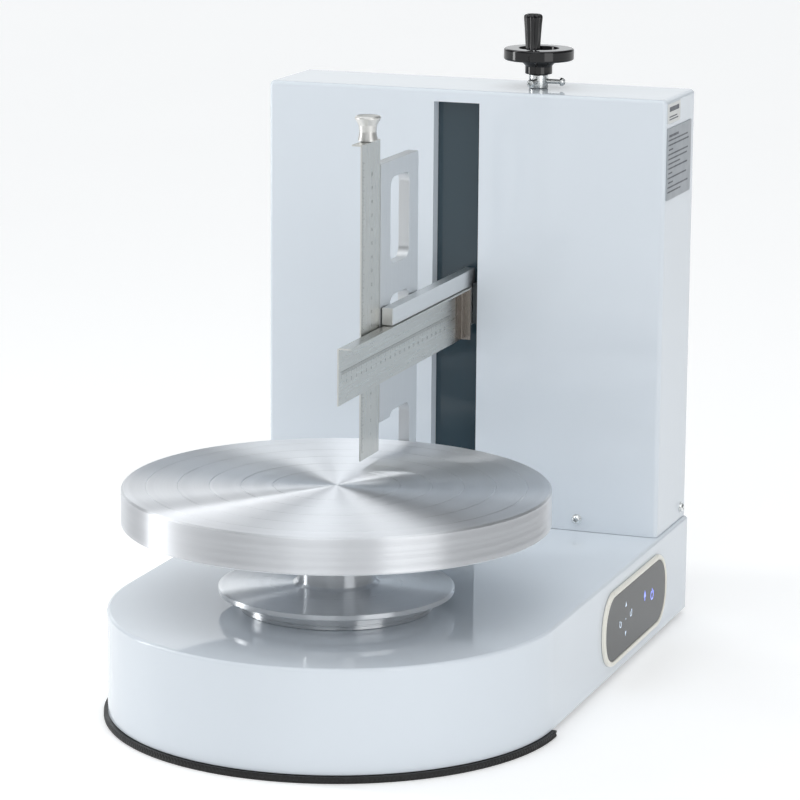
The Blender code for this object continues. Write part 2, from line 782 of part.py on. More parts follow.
def make_carriage(m, body):
    low, high = CARRIAGE_Z
    spots = [(SCREW_X - ROD_REACH, SCREW_Y), (SCREW_X + ROD_REACH, SCREW_Y)]
    screw = (SCREW_X, SCREW_Y)
    block_mesh = block(CARRIAGE_X, CARRIAGE_Y, CARRIAGE_Z)
    carriage = piece("carriage_block", block_mesh, m["cast_aluminium"], body)
    holes = [rod(7.8, low - 5, high + 5, spot, steps=16) for spot in spots]
    holes.append(rod(8.3, low - 5, high + 5, screw, steps=16))
    combine(carriage, holes)
    for side, spot in zip(("left", "right"), spots):
        bush = ring_of(ROD_R + GAP, 7.5, CARRIAGE_Z, spot, 16)
        piece(f"guide_bush_{side}", bush, m["bronze"], body)
    bore = SCREW_R + GAP
    profile = [
        (bore, low - 4.3),
        (11, low - 4.3),
        (11, low - GAP),
        (8, low - GAP),
        (8, high - 2),
        (bore, high - 2),
    ]
    piece("lead_nut", turned(profile, screw, 16), m["bronze"], body)


def make_arm(m, body):
    outline = [
        (BEAM_Y[0], BEAM_Z[0]),
        (LEG_Y0, BEAM_Z[0]),
        (LEG_Y0, LEG_Z0),
        (BEAM_Y[1], LEG_Z0),
        (BEAM_Y[1], BEAM_Z[1]),
        (BEAM_Y[0], BEAM_Z[1]),
    ]
    beam = piece("arm_beam", prism(outline, BEAM_X[0], BEAM_X[1], "x"), m["cast_aluminium"], body)
    soften(beam, 0.5)
    neck_y = (LEG_Y0 + 1.5, 316)
    neck_z = (LEG_Z0 + 1, 268)
    neck = piece("arm_neck", block(NECK_X, neck_y, neck_z), m["dark_steel"], body)
    for word, z in ARM_SCREW_Z.items():
        spot = (ARM_SCREW_Y, z)
        shank = rod(1.6, -0.9, NECK_X[1] - 0.5, spot, "x", 12)
        screw = piece(f"arm_screw_{word}", shank, m["zinc_steel"], body)
        combine(screw, [rod(3.0, -2.6, -GAP, spot, "x", 16)], "UNION")
    for part in (beam, neck):
        reach = NECK_X[1] + 5
        combine(part, [rod(1.9, -5, reach, (ARM_SCREW_Y, z), "x", 12) for z in ARM_SCREW_Z.values()])


# ---------------------------------------------------------------- scrapers


def holder_outline():
    """Plate outline in (y, z), with its foot stepped to clear the turntable's rim."""
    front, back = HOLDER_Y
    r = WINDOW_R
    rise = NOTCH_TOP - FRONT_FOOT_Z
    start = math.degrees(math.asin((r - rise) / r))
    outline = [(front, HOLDER_TOP), (front, FRONT_FOOT_Z)]
    outline += arc(WINDOW_Y[0] + r, NOTCH_TOP - r, r, 180 - start, 90, 4)
    outline += arc(REAR_LEG_Y0 - r, NOTCH_TOP - r, r, 90, 0, 6)
    outline += [(REAR_LEG_Y0, REAR_LEG_Z0), (back, REAR_LEG_Z0)]
    return outline + arc(back - 2, HOLDER_TOP - 2, 2, 0, 90, 3)


def make_holder(m, body):
    low, high = HOLDER_X
    plate = prism(holder_outline(), low, high, "x")
    plate = piece("holder_plate", plate, m["cast_aluminium"], body)
    cuts = [
        prism(rounded(WINDOW_Y, span, WINDOW_R, 6), low - 5, high + 5, "x")
        for span in WINDOWS_Z
    ]
    z = (BEAM_Z[0] + BEAM_Z[1]) / 2
    pocket = high - 3.5
    for word, y in (("front", 99.6), ("rear", 159.8)):
        cuts.append(rod(MAGNET_R + GAP, pocket, high + 5, (y, z), "x"))
        magnet = rod(MAGNET_R, pocket + GAP, high - GAP, (y, z), "x")
        piece(f"holder_magnet_{word}", magnet, m["magnet"], body)
    combine(plate, cuts)


def make_side_scraper(m, body):
    """Folded sheet: blade, rear flange against the plate's edge, and a tab for the knob."""
    x1 = HOLDER_X[1]
    x0 = HOLDER_X[0]
    y0, y1 = SIDE_BLADE_Y
    z0, z1 = SIDE_BLADE_Z
    section = [(x1, y0), (x1, y1), (x0, y1), (x0, y1 - SHEET)]
    section += [(x1 - SHEET, y1 - SHEET), (x1 - SHEET, y0)]
    blade = piece("side_scraper_blade", prism(section, z0, z1), m["stainless_steel"], body)
    tab = block((x0, x1 - 0.4), (y0 + 2, y1 - 0.4), (z1 - SHEET, z1))
    combine(blade, [tab], "UNION")
    low = z1 + GAP
    profile = [
        (0, low),
        (7.2, low),
        (7.0, low + 1.6),
        (6.2, low + 5),
        (6.2, low + 9),
        (7.2, low + 13),
        (9.4, low + 16.2),
        (9.4, low + 17.6),
        (8.8, low + 18.2),
        (0, low + 18.2),
    ]
    knob = turned(profile, (KNOB_X, KNOB_Y), 20)
    piece("scraper_knob", knob, m["turned_aluminium"], body)


def make_top_scraper(m, body):
    """Folded sheet: blade, a top flange under the arm's beam, and an end tab."""
    z0, z1 = TOP_BLADE_Z
    y0, y1 = TOP_BLADE_Y
    section = [(0, z0), (SHEET, z0), (SHEET, z1 - SHEET)]
    section += [(TOP_FLANGE, z1 - SHEET), (TOP_FLANGE, z1), (0, z1)]
    blade = piece("top_scraper_blade", prism(section, y0, y1, "y"), m["stainless_steel"], body)
    tab = block((0.4, 8), (y1 - SHEET, y1), (z0 + 0.5, z1 - 0.4))
    combine(blade, [tab], "UNION")


# ---------------------------------------------------------------- assembly


def main():
    clear_scene()
    m = make_materials()

    turntable = add_body("turntable_axis", world(0, 0, 0))
    motor = add_body("motor_axis", world(0, MOTOR_Y, 0))
    handwheel = add_body("handwheel_axis", world(SCREW_X, SCREW_Y, TOWER_TOP))
    grip = add_body("grip_axis", world(GRIP_X, GRIP_Y, GRIP_Z[0]), handwheel)
    lift = add_body("arm_lift", world(SCREW_X, SCREW_Y, CARRIAGE_Z[0]))
    holder = add_body("holder_slide", world(HOLDER_X[1], HOLDER_Y[0], BEAM_Z[0]), lift)
    side = add_body("side_scraper_slide", world(HOLDER_X[1], SIDE_BLADE_Y[1], SIDE_BLADE_Z[0]), holder)
    top = add_body("top_scraper_slide", world(0, TOP_BLADE_Y[0], TOP_BLADE_Z[1]), lift)
    rocker = add_body("rocker_axis", world(SWITCH_X, ROCKER_Y, FITTING_Z))

    make_base(m)
    make_tower(m)
    make_spindle_housing(m)
    make_turntable(m, turntable)
    make_drive(m, motor)
    make_electrics(m)
    make_controls(m)
    make_inlet(m)
    make_switch(m, rocker)
    make_guides(m)
    make_handwheel(m, handwheel, grip)
    make_carriage(m, lift)
    make_arm(m, lift)
    make_holder(m, holder)
    make_side_scraper(m, side)
    make_top_scraper(m, top)


main()
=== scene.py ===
"""Looks for the electric cake turntable: fine meshes, materials, studio and camera.

Sizes are in millimetres from the turntable's axis at floor level, and at() turns them
into metres in the frame: +X is the operator's right, +Y runs back to the tower, +Z is up.
"""
import math

import bmesh
import bpy
from mathutils import Matrix, Vector


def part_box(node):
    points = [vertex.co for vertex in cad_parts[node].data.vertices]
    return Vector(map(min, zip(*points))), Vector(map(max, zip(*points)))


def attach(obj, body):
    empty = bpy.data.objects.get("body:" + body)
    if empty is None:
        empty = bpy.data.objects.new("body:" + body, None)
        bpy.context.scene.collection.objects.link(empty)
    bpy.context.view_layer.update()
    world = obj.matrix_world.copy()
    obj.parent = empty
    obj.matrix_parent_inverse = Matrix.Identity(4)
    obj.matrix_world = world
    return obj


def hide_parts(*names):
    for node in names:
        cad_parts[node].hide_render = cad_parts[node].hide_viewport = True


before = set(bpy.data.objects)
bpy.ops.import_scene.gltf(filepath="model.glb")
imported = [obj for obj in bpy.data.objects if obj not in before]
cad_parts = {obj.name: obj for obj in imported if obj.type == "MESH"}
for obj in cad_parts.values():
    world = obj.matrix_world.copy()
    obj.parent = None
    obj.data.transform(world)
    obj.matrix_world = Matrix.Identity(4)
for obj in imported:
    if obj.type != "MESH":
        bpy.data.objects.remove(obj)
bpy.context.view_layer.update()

MM = 0.001
GAP = 0.3  # left between pieces that touch
PLATE_LOW, PLATE_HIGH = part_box("turntable_plate")
AXIS = Vector((PLATE_LOW.x + PLATE_HIGH.x, PLATE_LOW.y + PLATE_HIGH.y, 0)) / 2


def at(x, y, z):
    """A place in millimetres from the turntable's axis, in metres in the frame."""
    return AXIS + Vector((x, y, z)) * MM


def span(node):
    """A CAD node's extent along X, Y and Z, in millimetres from the turntable's axis."""
    low, high = ((corner - AXIS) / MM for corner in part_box(node))
    return [(low[i], high[i]) for i in range(3)]


def middle(node):
    """The middle of a CAD node, in millimetres from the turntable's axis."""
    return [sum(pair) / 2 for pair in span(node)]


# ---- outlines


def arc(cu, cv, radius, start, end, steps):
    """Points along an arc, both ends included, with the angles in degrees."""
    angles = [math.radians(start + (end - start) * i / steps) for i in range(steps + 1)]
    return [(cu + radius * math.cos(a), cv + radius * math.sin(a)) for a in angles]


def circle(radius, steps=64, centre=(0.0, 0.0)):
    return arc(centre[0], centre[1], radius, 0, 360 - 360 / steps, steps - 1)


def fillet(points, steps=5, closed=True):
    """An outline in which each corner (u, v, radius) is rounded and each (u, v) is sharp."""
    outline = []
    for i, (u, v, *radius) in enumerate(points):
        here = Vector((u, v))
        ends = (0, len(points) - 1)
        if not radius or radius[0] == 0 or (not closed and i in ends):
            outline.append((u, v))
            continue
        before = (Vector(points[i - 1][:2]) - here).normalized()
        after = (Vector(points[(i + 1) % len(points)][:2]) - here).normalized()
        half = before.angle(after) / 2
        centre = here + (before + after).normalized() * radius[0] / math.sin(half)
        first = here + before * radius[0] / math.tan(half) - centre
        last = here + after * radius[0] / math.tan(half) - centre
        sweep = math.atan2(first.x * last.y - first.y * last.x, first.dot(last))
        for k in range(steps + 1):
            turn = sweep * k / steps
            cos, sin = math.cos(turn), math.sin(turn)
            outline.append(
                (centre.x + first.x * cos - first.y * sin, centre.y + first.x * sin + first.y * cos)
            )
    return outline


def rounded(u, v, radius, steps=8):
    """The outline of a rounded rectangle that spans u and v."""
    corners = [(u[1], v[0]), (u[1], v[1]), (u[0], v[1]), (u[0], v[0])]
    return fillet([(*corner, radius) for corner in corners], steps)


# ---- meshes


def laid(outline, z):
    """An outline of (x, y) laid flat at a height."""
    return [(x, y, z) for x, y in outline]


def shell_of(rings, closed=False):
    """A closed mesh through rings of points. A ring of one point is a pole."""
    mesh = bmesh.new()
    rows = [[mesh.verts.new(point) for point in ring] for ring in rings]
    pairs = list(zip(rows, rows[1:]))
    if closed:
        pairs.append((rows[-1], rows[0]))
    for first, second in pairs:
        count = max(len(first), len(second))
        for i in range(count):
            j = (i + 1) % count
            corners = [first[i % len(first)], first[j % len(first)]]
            corners += [second[j % len(second)], second[i % len(second)]]
            mesh.faces.new(list(dict.fromkeys(corners)))
    if not closed:
        for row in (rows[0], rows[-1]):
            if len(row) > 2:
                mesh.faces.new(row)
    bmesh.ops.recalc_face_normals(mesh, faces=mesh.faces)
    return mesh


def prism(outline, low, high, axis="z"):
    """An outline pulled along an axis. It is in (x, y), (x, z) or (y, z), in that order."""
    spot = {
        "z": lambda u, v, w: (u, v, w),
        "y": lambda u, v, w: (u, w, v),
        "x": lambda u, v, w: (w, u, v),
    }[axis]
    return shell_of([[spot(u, v, w) for u, v in outline] for w in (low, high)])


def block(x, y, z):
    return prism([(x[0], y[0]), (x[1], y[0]), (x[1], y[1]), (x[0], y[1])], z[0], z[1])


def rod(radius, low, high, centre=(0.0, 0.0), axis="z", steps=48):
    return prism(circle(radius, steps, centre), low, high, axis)


def turned(profile, centre=(0.0, 0.0), steps=96):
    """A profile of (radius, z) turned about a vertical axis."""
    rings = []
    for radius, z in profile:
        if radius < 1e-6:
            rings.append([(centre[0], centre[1], z)])
        else:
            rings.append(laid(circle(radius, steps, centre), z))
    return shell_of(rings, closed=profile[0][0] > 1e-6)


def threaded(radius, depth, pitch, length, starts=1, around=24):
    """A rod up +Z from the origin, with a screw thread wound round it."""
    rings = []
    count = round(length / pitch * 6)
    for i in range(count + 1):
        z = length * i / count
        ring = []
        for k in range(around):
            phase = (z / pitch - starts * k / around) % 1.0
            root = max(0.0, 1.0 - 2.4 * abs(phase - 0.5))
            reach = radius - depth * root
            angle = 2 * math.pi * k / around
            ring.append((reach * math.cos(angle), reach * math.sin(angle), z))
        rings.append(ring)
    return shell_of(rings)


def aim(mesh, direction, spot):
    """Turns a mesh built up +Z to point along a direction from a place."""
    turn = Vector(direction).to_track_quat("Z", "Y").to_matrix().to_4x4()
    bmesh.ops.transform(mesh, matrix=Matrix.Translation(spot) @ turn, verts=mesh.verts)
    return mesh


def data_of(name, mesh):
    """Mesh data with what a bmesh holds, which is freed."""
    data = bpy.data.meshes.new(name)
    mesh.to_mesh(data)
    mesh.free()
    return data


def placed(name, data):
    """A new object in the scene."""
    obj = bpy.data.objects.new(name, data)
    bpy.context.collection.objects.link(obj)
    return obj


def merged(meshes):
    """Several meshes in one, as they lie."""
    whole = bmesh.new()
    for mesh in meshes:
        data = data_of("part", mesh)
        whole.from_mesh(data)
        bpy.data.meshes.remove(data)
    return whole


def boolean(mesh, tools, operation="DIFFERENCE"):
    """The mesh with every tool cut from it, or joined on."""
    objects = [placed("solid", data_of("solid", source)) for source in (mesh, *tools)]
    for tool in objects[1:]:
        modifier = objects[0].modifiers.new("cut", "BOOLEAN")
        modifier.operation = operation
        modifier.solver = "EXACT"
        modifier.object = tool
    evaluated = objects[0].evaluated_get(bpy.context.evaluated_depsgraph_get())
    data = bpy.data.meshes.new_from_object(evaluated)
    result = bmesh.new()
    result.from_mesh(data)
    bpy.data.meshes.remove(data)
    for obj in objects:
        bpy.data.objects.remove(obj)
    return result


def piece(name, mesh, finish, body, nodes=(), origin=(0, 0, 0), bevel=0.0, sharp=35):
    """A finished piece: it rides on a body and stands for CAD nodes, which it hides."""
    bmesh.ops.translate(mesh, verts=mesh.verts, vec=-Vector(origin))
    bmesh.ops.scale(mesh, vec=(MM, MM, MM), verts=mesh.verts)
    obj = placed(name, data_of(name, mesh))
    obj.location = at(*origin)
    obj.data.materials.append(MATERIALS[finish])
    obj.data.shade_smooth()
    obj.data.set_sharp_from_angle(angle=math.radians(sharp))
    if bevel:
        edge = obj.modifiers.new("edges", "BEVEL")
        edge.width = bevel * MM
        edge.segments = 3
        edge.limit_method = "ANGLE"
        edge.angle_limit = math.radians(40)
        edge.use_clamp_overlap = True
    weigh = obj.modifiers.new("normals", "WEIGHTED_NORMAL")
    weigh.keep_sharp = True
    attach(obj, body)
    if nodes:
        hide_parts(*nodes)
    return obj


# ---- materials


NOISE_SPAN = (0.3, 0.7)


class Nodes:
    """A material's node tree, with short calls for the nodes that the finishes share."""

    def __init__(self, name):
        self.material = bpy.data.materials.new(name)
        self.material.use_nodes = True
        self.tree = self.material.node_tree
        self.shader = self.tree.nodes["Principled BSDF"]
        self.object = self.new("ShaderNodeTexCoord").outputs["Object"]

    def new(self, kind, **settings):
        node = self.tree.nodes.new(kind)
        for key, value in settings.items():
            setattr(node, key, value)
        return node

    def link(self, source, target):
        self.tree.links.new(source, target)

    def stretch(self, scale):
        """Object coordinates multiplied along X, Y and Z."""
        node = self.new("ShaderNodeMapping")
        node.inputs["Scale"].default_value = scale
        self.link(self.object, node.inputs["Vector"])
        return node.outputs["Vector"]

    def lathe(self):
        """(radius, 0, height) about the object's Z axis, for marks left by turning."""
        parts = self.new("ShaderNodeSeparateXYZ")
        self.link(self.object, parts.inputs[0])
        flat = self.new("ShaderNodeCombineXYZ")
        self.link(parts.outputs["X"], flat.inputs["X"])
        self.link(parts.outputs["Y"], flat.inputs["Y"])
        length = self.new("ShaderNodeVectorMath", operation="LENGTH")
        self.link(flat.outputs[0], length.inputs[0])
        joined = self.new("ShaderNodeCombineXYZ")
        self.link(length.outputs["Value"], joined.inputs["X"])
        self.link(parts.outputs["Z"], joined.inputs["Z"])
        return joined.outputs[0]

    def noise(self, vector, scale, detail=3.0, rough=0.5):
        node = self.new("ShaderNodeTexNoise")
        node.inputs["Scale"].default_value = scale
        node.inputs["Detail"].default_value = detail
        node.inputs["Roughness"].default_value = rough
        self.link(vector, node.inputs["Vector"])
        return node.outputs["Fac"]

    def spread(self, noise, low, high):
        """A noise, which seldom leaves NOISE_SPAN, mapped to low to high."""
        node = self.new("ShaderNodeMapRange")
        keys = ("From Min", "From Max", "To Min", "To Max")
        for key, value in zip(keys, (*NOISE_SPAN, low, high)):
            node.inputs[key].default_value = value
        self.link(noise, node.inputs["Value"])
        return node.outputs["Result"]

    def tint(self, factor, first, second):
        node = self.new("ShaderNodeMix", data_type="RGBA")
        node.inputs["A"].default_value = (*first, 1)
        node.inputs["B"].default_value = (*second, 1)
        self.link(factor, node.inputs["Factor"])
        return node.outputs["Result"]

    def bump(self, height, strength, distance, base=None):
        node = self.new("ShaderNodeBump")
        node.inputs["Strength"].default_value = strength
        node.inputs["Distance"].default_value = distance * MM
        self.link(height, node.inputs["Height"])
        if base:
            self.link(base, node.inputs["Normal"])
        return node.outputs["Normal"]

    def finish(self, **sockets):
        """Sets each socket of the shader to a constant, or links it."""
        for key, value in sockets.items():
            socket = self.shader.inputs[key.replace("_", " ")]
            if isinstance(value, bpy.types.NodeSocket):
                self.link(value, socket)
            else:
                socket.default_value = value
        return self.material


def shades(colour, change):
    """Two colours a little darker and lighter than one."""
    return [tuple(channel * factor for channel in colour) for factor in (1 - change, 1 + change)]


def painted(name, colour, rough):
    """Sprayed gloss paint: a faint orange peel, and slight shifts of tone and gloss."""
    n = Nodes(name)
    cloud = n.noise(n.object, 14, 2)
    peel = n.noise(n.object, 420, 2)
    return n.finish(
        Base_Color=n.tint(cloud, *shades(colour, 0.012)),
        Roughness=n.spread(n.noise(n.object, 60, 4), rough * 0.8, rough * 1.25),
        Normal=n.bump(peel, 0.06, 0.05),
        IOR=1.5,
    )


def turned_metal(name, colour, rough, anisotropy, mark=0.35):
    """Metal cut on a lathe: fine circular marks that draw highlights out into fans."""
    n = Nodes(name)
    ring = n.lathe()
    fine = n.noise(ring, 900, 5, 0.7)
    coarse = n.noise(ring, 160, 3, 0.6)
    tangent = n.new("ShaderNodeTangent", direction_type="RADIAL", axis="Z")
    return n.finish(
        Base_Color=n.tint(coarse, *shades(colour, 0.035)),
        Roughness=n.spread(fine, rough * 0.82, rough * 1.2),
        Normal=n.bump(coarse, mark * 0.35, 0.02, n.bump(fine, mark, 0.01)),
        Tangent=tangent.outputs["Tangent"],
        Metallic=1.0,
        Anisotropic=anisotropy,
        Anisotropic_Rotation=0.25,
    )


def brushed_metal(name, colour, rough, along, anisotropy=0.55, mark=0.3, tone=0.03):
    """Metal brushed in straight lines along X, Y or Z."""
    n = Nodes(name)
    index = "xyz".index(along)
    line = n.stretch([40 if i == index else 1500 for i in range(3)])
    patch = n.stretch([12 if i == index else 160 for i in range(3)])
    hair = n.noise(line, 1.0, 4, 0.65)
    drift = n.noise(patch, 1.0, 3)
    tangent = n.new("ShaderNodeTangent", direction_type="RADIAL", axis=along.upper())
    return n.finish(
        Base_Color=n.tint(drift, *shades(colour, tone)),
        Roughness=n.spread(hair, rough * 0.8, rough * 1.2),
        Normal=n.bump(hair, mark, 0.008),
        Tangent=tangent.outputs["Tangent"],
        Metallic=1.0,
        Anisotropic=anisotropy,
    )


def grained_metal(name, colour, rough, scale, mark, tone=0.05, metallic=1.0):
    """Cast, blasted or plated metal: a fine even grain with cloudy tone."""
    n = Nodes(name)
    grain = n.noise(n.object, scale, 4, 0.6)
    cloud = n.noise(n.object, scale * 0.06, 3)
    return n.finish(
        Base_Color=n.tint(cloud, *shades(colour, tone)),
        Roughness=n.spread(n.noise(n.object, scale * 0.4, 3), rough * 0.8, rough * 1.25),
        Normal=n.bump(grain, mark, 0.02),
        Metallic=metallic,
    )


def moulded(name, colour, rough, texture=0.08, scale=700, coat=0.0, tone=0.06, specular=0.5):
    """Moulded plastic or rubber: a faint skin texture and uneven gloss."""
    n = Nodes(name)
    return n.finish(
        Base_Color=n.tint(n.noise(n.object, 40, 3), *shades(colour, tone)),
        Roughness=n.spread(n.noise(n.object, 110, 4), rough * 0.8, rough * 1.25),
        Normal=n.bump(n.noise(n.object, scale, 3), texture, 0.03),
        Specular_IOR_Level=specular,
        Coat_Weight=coat,
        Coat_Roughness=0.08,
    )


def glassy(name, colour, rough, specular=0.5):
    """A dark glossy face with faint wiping marks in its gloss."""
    n = Nodes(name)
    wipe = n.noise(n.stretch((30, 60, 14)), 1.6, 5, 0.7)
    return n.finish(
        Base_Color=n.tint(n.noise(n.object, 9, 2), *shades(colour, 0.05)),
        Roughness=n.spread(wipe, rough * 0.65, rough * 1.35),
        Normal=n.bump(n.noise(n.object, 35, 2), 0.02, 0.05),
        Specular_IOR_Level=specular,
    )


def glowing(name, colour, strength):
    """A lit mark behind the panel's face, a little brighter in its middle."""
    n = Nodes(name)
    drift = n.noise(n.object, 300, 2)
    return n.finish(
        Base_Color=n.tint(drift, *shades(colour, 0.08)),
        Roughness=0.4,
        Emission_Color=(*colour, 1),
        Emission_Strength=strength,
    )


MATERIALS = {
    "paint": painted("white_paint_gloss", (0.73, 0.785, 0.84), 0.045),
    "disc": turned_metal("turned_aluminium_disc", (0.81, 0.83, 0.86), 0.44, 1.0, 0.25),
    "hub": turned_metal("turned_aluminium_hub", (0.80, 0.825, 0.85), 0.32, 1.0, 0.05),
    "knob": turned_metal("satin_aluminium_knob", (0.70, 0.70, 0.68), 0.42, 0.4, 0.2),
    "bar": brushed_metal("satin_aluminium_bar", (0.82, 0.83, 0.83), 0.38, "y", 0.3, 0.15, 0.015),
    "holder": brushed_metal("satin_aluminium_plate", (0.68, 0.70, 0.715), 0.42, "z", 0.2, 0.12, 0.02),
    "cast": grained_metal("cast_aluminium_grain", (0.60, 0.61, 0.61), 0.48, 900, 0.25),
    "ruler_y": brushed_metal("brushed_steel_long", (0.64, 0.64, 0.61), 0.30, "y"),
    "ruler_z": brushed_metal("brushed_steel_upright", (0.60, 0.605, 0.58), 0.30, "z"),
    # the end of the top ruler: the same steel in a darker, warmer colour, which is a painted dark
    # reflection
    "ruler_end": brushed_metal("brushed_steel_end_painted_dark", (0.30, 0.275, 0.25), 0.26, "z"),
    "etched": grained_metal("etched_scale", (0.16, 0.16, 0.15), 0.6, 1500, 0.2, 0.08, 0.5),
    "zinc": grained_metal("zinc_plated_steel", (0.80, 0.82, 0.82), 0.26, 700, 0.12, 0.08),
    "sheet": grained_metal("galvanised_sheet", (0.55, 0.57, 0.58), 0.42, 260, 0.10, 0.10),
    "ground": turned_metal("ground_steel_round", (0.66, 0.66, 0.67), 0.18, 0.3, 0.15),
    "bronze": turned_metal("bronze_bush", (0.52, 0.35, 0.16), 0.36, 0.4, 0.3),
    "dark_steel": grained_metal("black_oxide_steel", (0.09, 0.10, 0.11), 0.42, 800, 0.18, 0.12),
    "magnet": grained_metal("nickel_plated_magnet", (0.60, 0.58, 0.54), 0.22, 900, 0.06),
    "rubber": moulded("black_rubber_tread", (0.010, 0.010, 0.010), 0.40, 0.35, 900, specular=0.4),
    "bakelite": moulded("polished_black_plastic", (0.003, 0.003, 0.004), 0.07, 0.01, 500),
    "black": moulded("satin_black_plastic", (0.016, 0.016, 0.017), 0.42, 0.15, 1400),
    "belt": moulded("neoprene_belt", (0.020, 0.020, 0.021), 0.72, 0.3, 1200),
    "cream": moulded("cream_plastic_rim", (0.86, 0.84, 0.76), 0.34, 0.05, 600, 0.2, 0.02),
    "slot": glassy("slot_dark_gloss", (0.034, 0.060, 0.077), 0.10),
    "glass": glassy("touch_panel_face", (0.014, 0.018, 0.018), 0.10, 0.36),
    "film": moulded("grey_label_film", (0.36, 0.39, 0.42), 0.42, 0.05, 1500, 0.0, 0.03),
    "paper": moulded("white_label_film", (0.70, 0.71, 0.70), 0.42, 0.05, 1500, 0.0, 0.02),
    "ink": moulded("dark_label_print", (0.10, 0.11, 0.13), 0.5, 0.05, 1500),
    "board": moulded("circuit_board_lacquer", (0.010, 0.10, 0.04), 0.35, 0.12, 900, 0.3, 0.2),
    "blue_glow": glowing("blue_indicator", (0.26, 0.32, 1.0), 1.1),
    "white_glow": glowing("white_indicator", (0.72, 0.84, 1.0), 0.45),
}
RECORD_SLOTS = {
    # each of the record's slots, with the finishes that belong to it
    "white_paint": "paint",
    "zinc_steel": "zinc",
    "black_rubber": "rubber",
    "label_film": "film ink paper",
    "turned_aluminium": "hub disc knob",
    "cream_plastic": "cream",
    "panel_glass": "glass blue_glow white_glow",
    "black_plastic": "black bakelite",
    "ground_steel": "ground",
    "cast_aluminium": "bar holder",
    "stainless_steel": "ruler_z etched ruler_y ruler_end",
}
SLOTS = {finish: slot for slot, names in RECORD_SLOTS.items() for finish in names.split()}


# ---- fasteners


def cross_recess(radius, top, depth):
    """Two crossed, tapering cutters in the head of a screw that stands up +Z."""
    cutters = []
    for wide, deep in ((radius * 0.66, radius * 0.22), (radius * 0.22, radius * 0.66)):
        rings = []
        for z, share in ((top - depth, 0.45), (top + 0.5, 1.0)):
            x, y = wide * share, deep * (0.7 + 0.3 * share)
            if wide < deep:
                x, y = wide * (0.7 + 0.3 * share), deep * share
            rings.append([(-x, -y, z), (x, -y, z), (x, y, z), (-x, y, z)])
        cutters.append(shell_of(rings))
    return cutters


WASHER_THICK = 0.8


def pan_head(radius, height, washer=0.0):
    """A pan head with a cross recess, sitting on z = 0 or on a washer of that radius."""
    base = WASHER_THICK if washer else 0.0
    top = base + height
    profile = [(0, top), (radius * 0.62, top, radius * 0.3)]
    profile += [(radius * 0.96, top - height * 0.5, radius * 0.3), (radius, base, 0.12)]
    if washer:
        profile += [(washer, base, 0.2), (washer, 0), (0, 0)]
    else:
        profile += [(0, base)]
    head = turned(fillet(profile, 4, closed=False), steps=48)
    return boolean(head, cross_recess(radius, top, height * 0.85))


def case_screw(direction, spot, radius, height, washer=0.0):
    """A screw head that stands on a spot and looks along a direction."""
    return aim(pan_head(radius, height, washer), direction, spot)


# ---- base


BASE_CORNER = 4.0


def base_outline(inset, side, back):
    """The base from above: a half circle in front and two rounded corners behind."""
    radius = max(BASE_CORNER - inset, 0.5)
    outline = arc(0, 0, side - inset, 180, 360, 96)
    outline += arc(side - inset - radius, back - inset - radius, radius, 0, 90, 8)
    return outline + arc(inset + radius - side, back - inset - radius, radius, 90, 180, 8)


INLET_X, _, FITTING_Z = middle("power_inlet")
SWITCH_X = middle("switch_frame")[0]


def make_base():
    x, y, z = span("base_housing")
    side, back = x[1], y[1]
    edge, wall, thick = 2.5, 2.0, 2.5
    layers = [(wall, z[1] - thick), (wall, z[0]), (0.3, z[0]), (0.0, z[0] + 0.3)]
    layers += arc(edge, z[1] - edge, edge, 180, 90, 12)
    rings = [laid(base_outline(inset, side, back), pz) for inset, pz in layers]
    roof = (z[1] - 8, z[1] + 5)
    rear = (back - 8, back + 5)
    cutters = [
        rod(34, *roof),  # spindle
        block((-110, -40), (290, 335), roof),  # cables, below the tower
        block((side - 8, side + 5), (170, 235), (28, 54)),  # behind the touch panel
        block((INLET_X - 14, INLET_X + 14), rear, (FITTING_Z - 10, FITTING_Z + 10)),
        block((SWITCH_X - 11.4, SWITCH_X + 11.4), rear, (FITTING_Z - 8.4, FITTING_Z + 8.4)),
    ]
    vents, first, pitch, width = 7, 40, 14, 5
    for number in range(vents):
        left = first + pitch * number
        cutters.append(prism(rounded((left, left + width), (24, 58), 2.45), *rear, "y"))
    shell = boolean(shell_of(rings), cutters)
    piece("base_shell", shell, "paint", "root", ["base_housing"])

    low = span("base_plate")[2][0]
    reach = 140
    turns = [math.radians(turn) for turn in (200, 245, 295, 340)]
    spots = [(reach * math.cos(turn), reach * math.sin(turn)) for turn in turns]
    spots += [(sx, sy) for sx in (-150, 150) for sy in (120, 250)]
    screws = [case_screw((0, 0, -1), (*spot, low), 2.6, 1.6) for spot in spots]
    piece("base_plate_screws", merged(screws), "zinc", "root")


def make_strip():
    """The strip under the round front, with slanting ribs on its outer face."""
    outer = span("front_rubber_strip")[0][1]
    top = span("front_rubber_strip")[2][1]
    ribs, per_rib, depth = 174, 6, 0.6
    rings = []
    for z, inset in ((0.0, 0.5), (0.5, 0.0), (1.4, 0.0), (2.35, 0.0), (3.3, 0.0), (4.2, 0.0), (top, 0.5)):
        slant = abs(z - top / 2) / top * 1.5
        ring = []
        for i in range(ribs * per_rib + 1):
            share = i / (ribs * per_rib)
            wave = 0.5 + 0.5 * math.cos(2 * math.pi * (share * ribs + slant))
            angle = math.pi * (1 + share)
            reach = outer - inset - depth * wave * (inset == 0)
            ring.append((reach * math.cos(angle), reach * math.sin(angle), z))
        ring += laid(arc(0, 0, outer - 10, 360, 180, 60), z)
        rings.append(ring)
    piece("rubber_strip", shell_of(rings), "rubber", "root", ["front_rubber_strip"])


